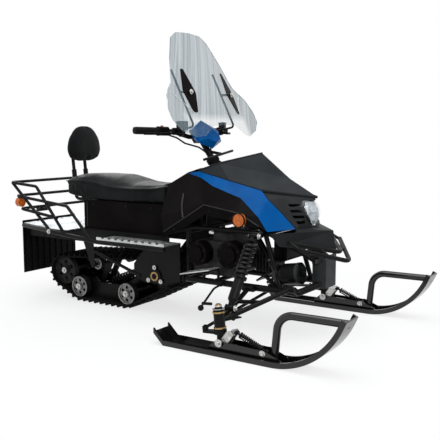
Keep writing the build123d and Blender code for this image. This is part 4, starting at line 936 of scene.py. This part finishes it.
def damper(name, side_name, body, ends, radius, wire, turns):
    """Replaces a damper's solid by a turned core and a coil."""
    start, end = ends
    core, wire_mesh = bmesh.new(), bmesh.new()
    run = (end - start).length
    low, high = run * 0.16, run * 0.84
    cup, rod, eye_half = radius * 0.98, radius * 0.36, radius * 0.62
    sleeve, inner = rod * 1.3, rod * 0.8
    profile = [(0.0, 0.004), (rod, 0.004), (rod, low - 0.006), (cup, low - 0.005), (cup, low), (sleeve, low),
               (sleeve, run / 2), (inner, run / 2), (inner, high), (cup, high), (cup, high + 0.005),
               (rod, high + 0.006), (rod, run - 0.004), (0.0, run - 0.004)]
    ring = [(0.0, -eye_half), (eye_half, -eye_half), (eye_half, eye_half), (0.0, eye_half)]
    unit = (end - start).normalized()
    turned(core, profile, start, unit)
    for eye in ends:
        turned(core, ring, eye, ACROSS)
    coil(wire_mesh, start + unit * low, start + unit * high, radius - wire, wire, turns)
    core_piece = finish_piece(name + "_core" + side_name, core, powder, body)
    finish_piece(name + "_coil" + side_name, wire_mesh, spring_black, body)
    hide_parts(name + side_name)


for side, ski in SIDES:
    ends = [side_of(point, side) for point in SKI_DAMPER]
    damper("ski_damper", "_" + ski, "ski_" + ski, ends, **SKI_COIL)
damper("skid_damper", "", "chassis", [Vector(point) for point in SKID_DAMPER], **SKID_COIL)
print("dampers:", len(SIDES) + 1)

# %% [markdown]
# ## Landing on a solid
# A bolt stands on a face whose place and slope aren't known beforehand, and a line sent from outside finds
# both. The scene has a ray cast of its own, but a search tree made from one solid meets only that solid.

# %% Surface helpers
solid_trees = {}


def surface(names, start, direction):
    """Where a line first meets one of some solids, and which way that face looks."""
    way = Vector(direction).normalized()
    nearest = None
    for name in names:
        if name not in solid_trees:
            solid = bmesh.new()
            solid.from_mesh(nodes[name].data)
            solid_trees[name] = BVHTree.FromBMesh(solid)
            solid.free()
        place, normal, _, distance = solid_trees[name].ray_cast(Vector(start), way)
        if place is not None and (nearest is None or distance < nearest[2]):
            nearest = (place, normal if normal.dot(way) < 0 else -normal, distance)
    if nearest is None:
        raise ValueError(f"no surface of {names} in front of {tuple(start)}")
    return nearest[0], nearest[1]


def bolts_on(whole, names, starts, direction, radius):
    """Bolts where lines from some starts first meet one of some solids."""
    for start in starts:
        place, normal = surface(names, start, direction)
        bolt(whole, place, normal, radius)


print("surface helpers ready")

# %% [markdown]
# ## Kingpins and ski bolts
# On top of each kingpin sits a plated nut under a castle nut of brass, and brass rings seal the housing. They
# are turned shapes and a bolt head, set one above the other along the tilted pin. A long bolt carries the ski.
# The nuts turn with the ski and the rings stay with the arm, so they are pieces of their own.

# %% Kingpin nuts
KINGPIN_FOOT = (0.465, 0.490, 0.090)
KINGPIN_TILT = math.radians(6)
up_kingpin = Vector((-math.sin(KINGPIN_TILT), 0.0, math.cos(KINGPIN_TILT)))
SEAL_HEIGHTS = (0.012, 0.076)
NUT_HEIGHT = 0.0935
KINGPIN_NUT = 0.0165
CASTLE_HEIGHT = 0.103
SKI_BOLT = (0.480, 0.490, 0.052)
SADDLE_HALF = 0.041
SADDLE_BOLT = 0.0105
DAMPER_BOLT = 0.0085
SKI_CLEAR = 0.2
SEAL = [(0.0226, 0.0), (0.0262, 0.0008), (0.0268, 0.004), (0.0262, 0.0072), (0.0226, 0.008)]
CASTLE = [(0.0, 0.0), (0.0125, 0.0), (0.0135, 0.001), (0.0135, 0.007), (0.0095, 0.0075), (0.0095, 0.011),
          (0.007, 0.0125), (0.0, 0.0125)]
damper_x, _, damper_z = SKI_DAMPER[0]
seals = bmesh.new()
for side, ski in SIDES:
    castle, plated = bmesh.new(), bmesh.new()
    foot, middle = side_of(KINGPIN_FOOT, side), side_of(SKI_BOLT, side)
    for height in SEAL_HEIGHTS:
        turned(seals, SEAL, foot + up_kingpin * height, up_kingpin, 32)
    turned(castle, CASTLE, foot + up_kingpin * CASTLE_HEIGHT, up_kingpin)
    bolt(plated, foot + up_kingpin * NUT_HEIGHT, up_kingpin, KINGPIN_NUT)
    for way in (-1, 1):
        bolt(plated, middle + ACROSS * (way * SADDLE_HALF), ACROSS * way, SADDLE_BOLT)
        beside = (damper_x, middle.y + way * SKI_CLEAR, damper_z)
        bolts_on(plated, ["ski_" + ski], [beside], (0, -way, 0), DAMPER_BOLT)
    finish_piece("castle_nut_" + ski, castle, brass, "ski_" + ski)
    finish_piece("ski_bolts_" + ski, plated, zinc, "ski_" + ski)
finish_piece("kingpin_seals", seals, brass, "chassis")
print("kingpin fittings made for", len(SIDES), "skis")

# %% [markdown]
# ## Bolts and fasteners
# Bolt heads are too small for the solids, yet they catch the light all over the machine. Each one is dropped
# along a line until it meets its solid, and stands square to the face it lands on.

# %% Bolts on the chassis
FAR_OUT = 0.8
SCREW = 0.0045
# Node, bolt radius, X and Z of each bolt on both sides
PLATED = [
    (["idler_wheels"], 0.010, [(-0.345, 0.075), (-0.675, 0.075)]),
    (["tail_wheels"], 0.010, [(-0.790, 0.150)]),
    (["rack"], 0.008, [(-0.718, 0.389)]),
]
BLACKENED = [
    (["seat_box"], SCREW, [(x, 0.528) for x in (-0.54, -0.32, -0.16)]),
    (["side_panels"], SCREW, [(0.02, 0.446), (0.23, 0.545), (0.345, 0.520)]),
    (["tunnel"], SCREW, [(x / 1000, 0.336) for x in range(-900, -199, 100)]),
]
ENGINE_COVERS = [((0.309, 0.345), 0.052), ((0.130, 0.337), 0.047)]
COVER_SCREWS = 6
COVER_TURN = 0.4
FLANGE = ["drive_plates", "drive_axle"]
FLANGE_MIDDLE = (-0.120, 0.200)
FLANGE_BOLTS = 0.044
BESIDE_HUB = 0.02
HUB_BOLT = 0.0085
BEARING = [(0.012, -0.001), (0.023, -0.001), (0.023, 0.0030), (0.020, 0.0046), (0.015, 0.0046), (0.012, 0.003)]
FLAP_ROW = [(-0.99, y, 0.388) for y in (-0.16, -0.055, 0.055, 0.16)]
FLAP_BOLT = 0.006


def bolt_circle(middle, radius, count, first):
    turns = [2 * math.pi * number / count + first for number in range(count)]
    return [(middle[0] + radius * math.cos(turn), middle[1] + radius * math.sin(turn)) for turn in turns]


PLATED.append((FLANGE, 0.007, bolt_circle(FLANGE_MIDDLE, FLANGE_BOLTS, 3, math.pi / 2)))
plated, blackened, bearings = bmesh.new(), bmesh.new(), bmesh.new()
for side in (-1, 1):
    inward, outer = (0, -side, 0), side * FAR_OUT
    for piece, table in ((plated, PLATED), (blackened, BLACKENED)):
        for names, radius, places in table:
            bolts_on(piece, names, [(x, outer, z) for x, z in places], inward, radius)
    place, normal = surface(FLANGE, (FLANGE_MIDDLE[0] + BESIDE_HUB, outer, FLANGE_MIDDLE[1]), inward)
    hub = Vector((FLANGE_MIDDLE[0], place.y, FLANGE_MIDDLE[1]))
    turned(bearings, BEARING, hub, normal)
    bolt(blackened, hub, normal, HUB_BOLT)
for middle, radius in ENGINE_COVERS:
    ring = bolt_circle(middle, radius, COVER_SCREWS, COVER_TURN)
    bolts_on(blackened, ["engine_covers"], [(x, -FAR_OUT, z) for x, z in ring], ACROSS, SCREW)
bolts_on(blackened, ["mud_flap"], FLAP_ROW, -FORWARD, FLAP_BOLT)
finish_piece("plated_bolts", plated, zinc, "chassis")
finish_piece("black_fasteners", blackened, powder, "chassis")
finish_piece("axle_bearings", bearings, brass, "chassis")
print("bolts set on the chassis")

# %% [markdown]
# ## Panel edges
# Moulded panels are rolled over at their edges, and those rolls are what the light picks out: the lip under
# the hood, its rear rim, the ridge along each side panel and the edge of the knee hollow. A bevel on the
# solid's loose triangles would tear, so a thin cord along each line gives the roll. The box under the seat
# has one raised seam near its rear corner. The cords on the side panels and the box are a grey lighter than
# the black panels: a painted highlight.

# %% Rolled edges
HOOD_LIP = [(0.447, -0.126, 0.641), (0.652, 0.0, 0.613), (0.447, 0.126, 0.641)]
HOOD_RIM = [(0.106, -0.130, 0.722), (0.205, -0.105, 0.757), (0.372, 0.0, 0.803), (0.205, 0.105, 0.757),
            (0.106, 0.130, 0.722)]
PANEL_RIDGE = [(-0.046, 0.207, 0.428), (0.200, 0.224, 0.572), (0.385, 0.228, 0.546), (0.480, 0.210, 0.492)]
KNEE_EDGE = [(0.046, 0.612), (0.050, 0.580), (0.058, 0.545), (0.076, 0.504)]
BOX_SEAM = [(-0.585, 0.540), (-0.585, 0.410)]
LIP_RADIUS, RIM_RADIUS, RIDGE_RADIUS = 0.0065, 0.0035, 0.0022
KNEE_RADIUS, SEAM_BEAD = 0.0046, 0.0018
rolls = bmesh.new()
piping(rolls, HOOD_LIP, LIP_RADIUS)
piping(rolls, HOOD_RIM, RIM_RADIUS)
finish_piece("hood_rolls", rolls, nose_grain, "chassis")
ridges = bmesh.new()
for side in (-1, 1):
    piping(ridges, [side_of(point, side) for point in PANEL_RIDGE], RIDGE_RADIUS)
    for node, line, radius in (("side_panels", KNEE_EDGE, KNEE_RADIUS), ("seat_box", BOX_SEAM, SEAM_BEAD)):
        run = [surface([node], (x, side * FAR_OUT, z), (0, -side, 0))[0] for x, z in line]
        piping(ridges, run, radius, True)
# Painted highlight: these cords wear a grey lighter than the black panels they belong to.
finish_piece("panel_rolls_painted_highlight", ridges, bracket_grey, "chassis")
print("rolled edges made")

# %% [markdown]
# ## Inside the head lamp
# A bright bowl with a small bulb stands behind the glass, and a black block behind the grille paints the
# shade inside the nose, so that its slots read dark. Each side reflector has a black rim.

# %% Lamp bowl, bulb and rims
BOWL = [(0.010, -0.026), (0.018, -0.022), (0.028, -0.011), (0.035, 0.004), (0.0365, 0.004), (0.030, -0.012),
        (0.019, -0.024), (0.010, -0.028)]
BULB = [(0.0, -0.030), (0.0095, -0.030), (0.0095, -0.020), (0.0065, -0.018), (0.0068, -0.004), (0.0045, 0.002),
        (0.0, 0.004)]
BOWL_SHIFT = Vector((0.002, 0, 0.004))
SHADE_BLOCK_HALF = (0.004, 0.105, 0.054)
SHADE_BLOCK_PLACE = (0.500, 0.0, 0.535)
SHADE_BLOCK_EASE = 0.003
MARKER = (0.392, 0.238, 0.516)
RIM = [(0.0290, -0.005), (0.0322, -0.004), (0.0322, 0.003), (0.0305, 0.0042), (0.0290, 0.003)]


def eased_box(whole, matrix, half, ease):
    """A block with rounded edges."""
    part = bmesh.new()
    bmesh.ops.create_cube(part, size=2.0, matrix=Matrix.Diagonal((*half, 1.0)))
    bmesh.ops.bevel(part, geom=part.edges[:], offset=ease, affect="EDGES", segments=3, profile=0.5,
                    material=-1)
    join_part(whole, part, matrix)


bowl, bulb, shade_block, rims = (bmesh.new() for number in range(4))
turned(bowl, BOWL, LAMP_MIDDLE + BOWL_SHIFT, FORWARD, 40)
turned(bulb, BULB, LAMP_MIDDLE + BOWL_SHIFT, FORWARD, 20)
# Painted shade: a black block behind the grille slots.
eased_box(shade_block, Matrix.Translation(SHADE_BLOCK_PLACE), SHADE_BLOCK_HALF, SHADE_BLOCK_EASE)
for side in (-1, 1):
    turned(rims, RIM, side_of(MARKER, side), ACROSS * side, 32)
finish_piece("lamp_bowl", bowl, reflector, "chassis")
finish_piece("lamp_bulb", bulb, lamp_clear, "chassis")
finish_piece("grille_shade_block", shade_block, satin, "chassis")
finish_piece("reflector_rims", rims, satin, "chassis")
print("lamp insides made")

# %% [markdown]
# ## Screen creases
# Each wing of the screen has one pressed crease, which catches the light. Its solid is loose triangles that
# can't be folded well, so a thin bead laid on the front of the sheet, paler and denser than the sheet, gives
# the crease as a painted highlight.

# %% Creases in the screen
CREASE = [(0.282, 1.078), (0.238, 1.033), (0.192, 0.985)]
CREASE_RADIUS = 0.0022
BEFORE_SCREEN = 1.2
# Painted highlight: a pale, fairly opaque clear finish for the light along the crease.
crease_highlight, tree, shader, coords = start_finish("crease_highlight", {
    "Roughness": 0.12, "Specular IOR Level": 0.4})
highlight_fade = noise(tree, coords, 0.02)
painted(tree, shader, highlight_fade, [(0.3, (0.52, 0.58, 0.61)), (0.7, (0.78, 0.82, 0.84))])
tree.links.new(spread(tree, highlight_fade, 0.5, 0.85), shader.inputs["Alpha"])
crease_highlights = bmesh.new()
for side in (-1, 1):
    run = [surface(["windscreen"], (BEFORE_SCREEN, side * y, z), -FORWARD)[0] for y, z in CREASE]
    piping(crease_highlights, run, CREASE_RADIUS, True)
finish_piece("screen_crease_highlights", crease_highlights, crease_highlight, "steering")
print("screen creases made")

# %% [markdown]
# ## On the handlebar
# The grips are ribbed rubber. A red button sits on the right switch pod, and a fluid box with a screwed lid
# on the left one. The two plates on the screen have a bolt each. They all turn with the bar.

# %% Handlebar fittings
GRIP_END = Vector((-0.0735, 0.372, 0.9057))
GRIP_WAY = Vector((-0.073, 0.182, 0.004)).normalized()
RIB = [(0.0158, -0.0022), (0.0172, -0.0012), (0.0172, 0.0012), (0.0158, 0.0022)]
RIB_COUNT = 14
RIB_PITCH = 0.0074
FIRST_RIB = 0.006
POD_START = Vector((-0.0102, 0.2142, 0.9022))
BUTTON = [(0.0, 0.0), (0.0085, 0.0), (0.0085, 0.005), (0.0065, 0.008), (0.0, 0.0085)]
BUTTON_WAY = Vector((-0.45, 0.0, 0.89))
BUTTON_ALONG = 0.022
BUTTON_LIFT = 0.0195
FLUID_HALF = (0.016, 0.023, 0.013)
FLUID_ALONG = 0.014
FLUID_SHIFT = Vector((0.020, 0, 0.028))
FLUID_EASE = 0.004
LID_HALF = (0.0175, 0.0245, 0.0025)
LID_LIFT = 0.0145
LID_EASE = 0.0015
LID_SCREWS = 0.017
LID_TOP = 0.0165
LID_SCREW = 0.003
BEFORE_PLATE = (1.0, 0.172, 1.082)
PLATE_BOLT = 0.0075
ribs, button, fluid, screws = (bmesh.new() for number in range(4))
for side in (-1, 1):
    end, way = side_of(GRIP_END, side), side_of(GRIP_WAY, side)
    for number in range(RIB_COUNT):
        turned(ribs, RIB, end - way * (FIRST_RIB + number * RIB_PITCH), way)
button_seat = side_of(POD_START + GRIP_WAY * BUTTON_ALONG, -1) + BUTTON_WAY * BUTTON_LIFT
turned(button, BUTTON, button_seat, BUTTON_WAY)
box_turn = GRIP_WAY.to_track_quat("Y", "Z").to_matrix().to_4x4()
box_place = Matrix.Translation(POD_START + GRIP_WAY * FLUID_ALONG + FLUID_SHIFT) @ box_turn
eased_box(fluid, box_place, FLUID_HALF, FLUID_EASE)
eased_box(fluid, box_place @ Matrix.Translation((0, 0, LID_LIFT)), LID_HALF, LID_EASE)
for shift in (-LID_SCREWS, LID_SCREWS):
    bolt(screws, box_place @ Vector((0, shift, LID_TOP)), box_turn @ UPRIGHT, LID_SCREW)
place, normal = surface(["screen_plates"], BEFORE_PLATE, -FORWARD)
for side in (-1, 1):
    bolt(screws, side_of(place, side), side_of(normal, side), PLATE_BOLT)
finish_piece("grip_ribs", ribs, grip_rubber, "steering")
finish_piece("stop_button", button, red_plain, "steering")
finish_piece("fluid_box", fluid, bracket_grey, "steering")
finish_piece("bar_screws", screws, zinc, "steering")
print("handlebar fittings made")

# %% [markdown]
# ## Instrument glass
# The instrument has a dark glass toward the rider. A change of colour alone would show no rim there, so a
# thin block with eased edges lies on that face.

# %% Glass on the instrument
GLASS_PLACE = (-0.0006, -0.132, 0.929)
GLASS_HALF = (0.0014, 0.022, 0.015)
GLASS_EASE = 0.0012
dark_glass = black("dark_glass", (0.004, 0.005, 0.006), (0.008, 0.010, 0.012),
                   0.02, 0.00001, (0.05, 0.12), 0.5, patch=0.02)
glass = bmesh.new()
eased_box(glass, Matrix.Translation(GLASS_PLACE), GLASS_HALF, GLASS_EASE)
finish_piece("instrument_glass", glass, dark_glass, "steering")
print("instrument glass made")

# %% [markdown]
# ## Cap, key and silencer
# The fuel filler cap and the key switch sit on the console in front of the rider, and the silencer is held by
# two bands. All are turned shapes set on the solids that carry them.

# %% Small turned fittings
CAP = [(0.0, -0.004), (0.030, -0.004), (0.031, 0.002), (0.027, 0.004), (0.0265, 0.013), (0.024, 0.0155),
       (0.010, 0.0165), (0.0, 0.0165)]
ABOVE_CAP = (-0.020, 0.0004, 1.2)
KEY = [(0.0, -0.003), (0.013, -0.003), (0.013, 0.003), (0.010, 0.005), (0.007, 0.005), (0.006, 0.003),
       (0.0, 0.003)]
ABOVE_KEY = (0.020, -0.075, 1.2)
SILENCER = (Vector((0.512, -0.118, 0.268)), Vector((0.656, -0.118, 0.290)))
BAND = [(0.0468, -0.007), (0.0486, -0.007), (0.0486, 0.007), (0.0468, 0.007)]
BAND_SHARES = (0.14, 0.86)
caps, keys, bands = bmesh.new(), bmesh.new(), bmesh.new()
place, normal = surface(["console"], ABOVE_CAP, -UPRIGHT)
turned(caps, CAP, place, (normal.x, 0, normal.z), 40)
place, normal = surface(["console"], ABOVE_KEY, -UPRIGHT)
turned(keys, KEY, place, normal)
for share in BAND_SHARES:
    turned(bands, BAND, SILENCER[0].lerp(SILENCER[1], share), SILENCER[1] - SILENCER[0], 40)
finish_piece("filler_cap", caps, satin, "chassis")
finish_piece("key_switch", keys, zinc, "chassis")
finish_piece("silencer_bands", bands, bracket_grey, "chassis")
print("turned fittings made")
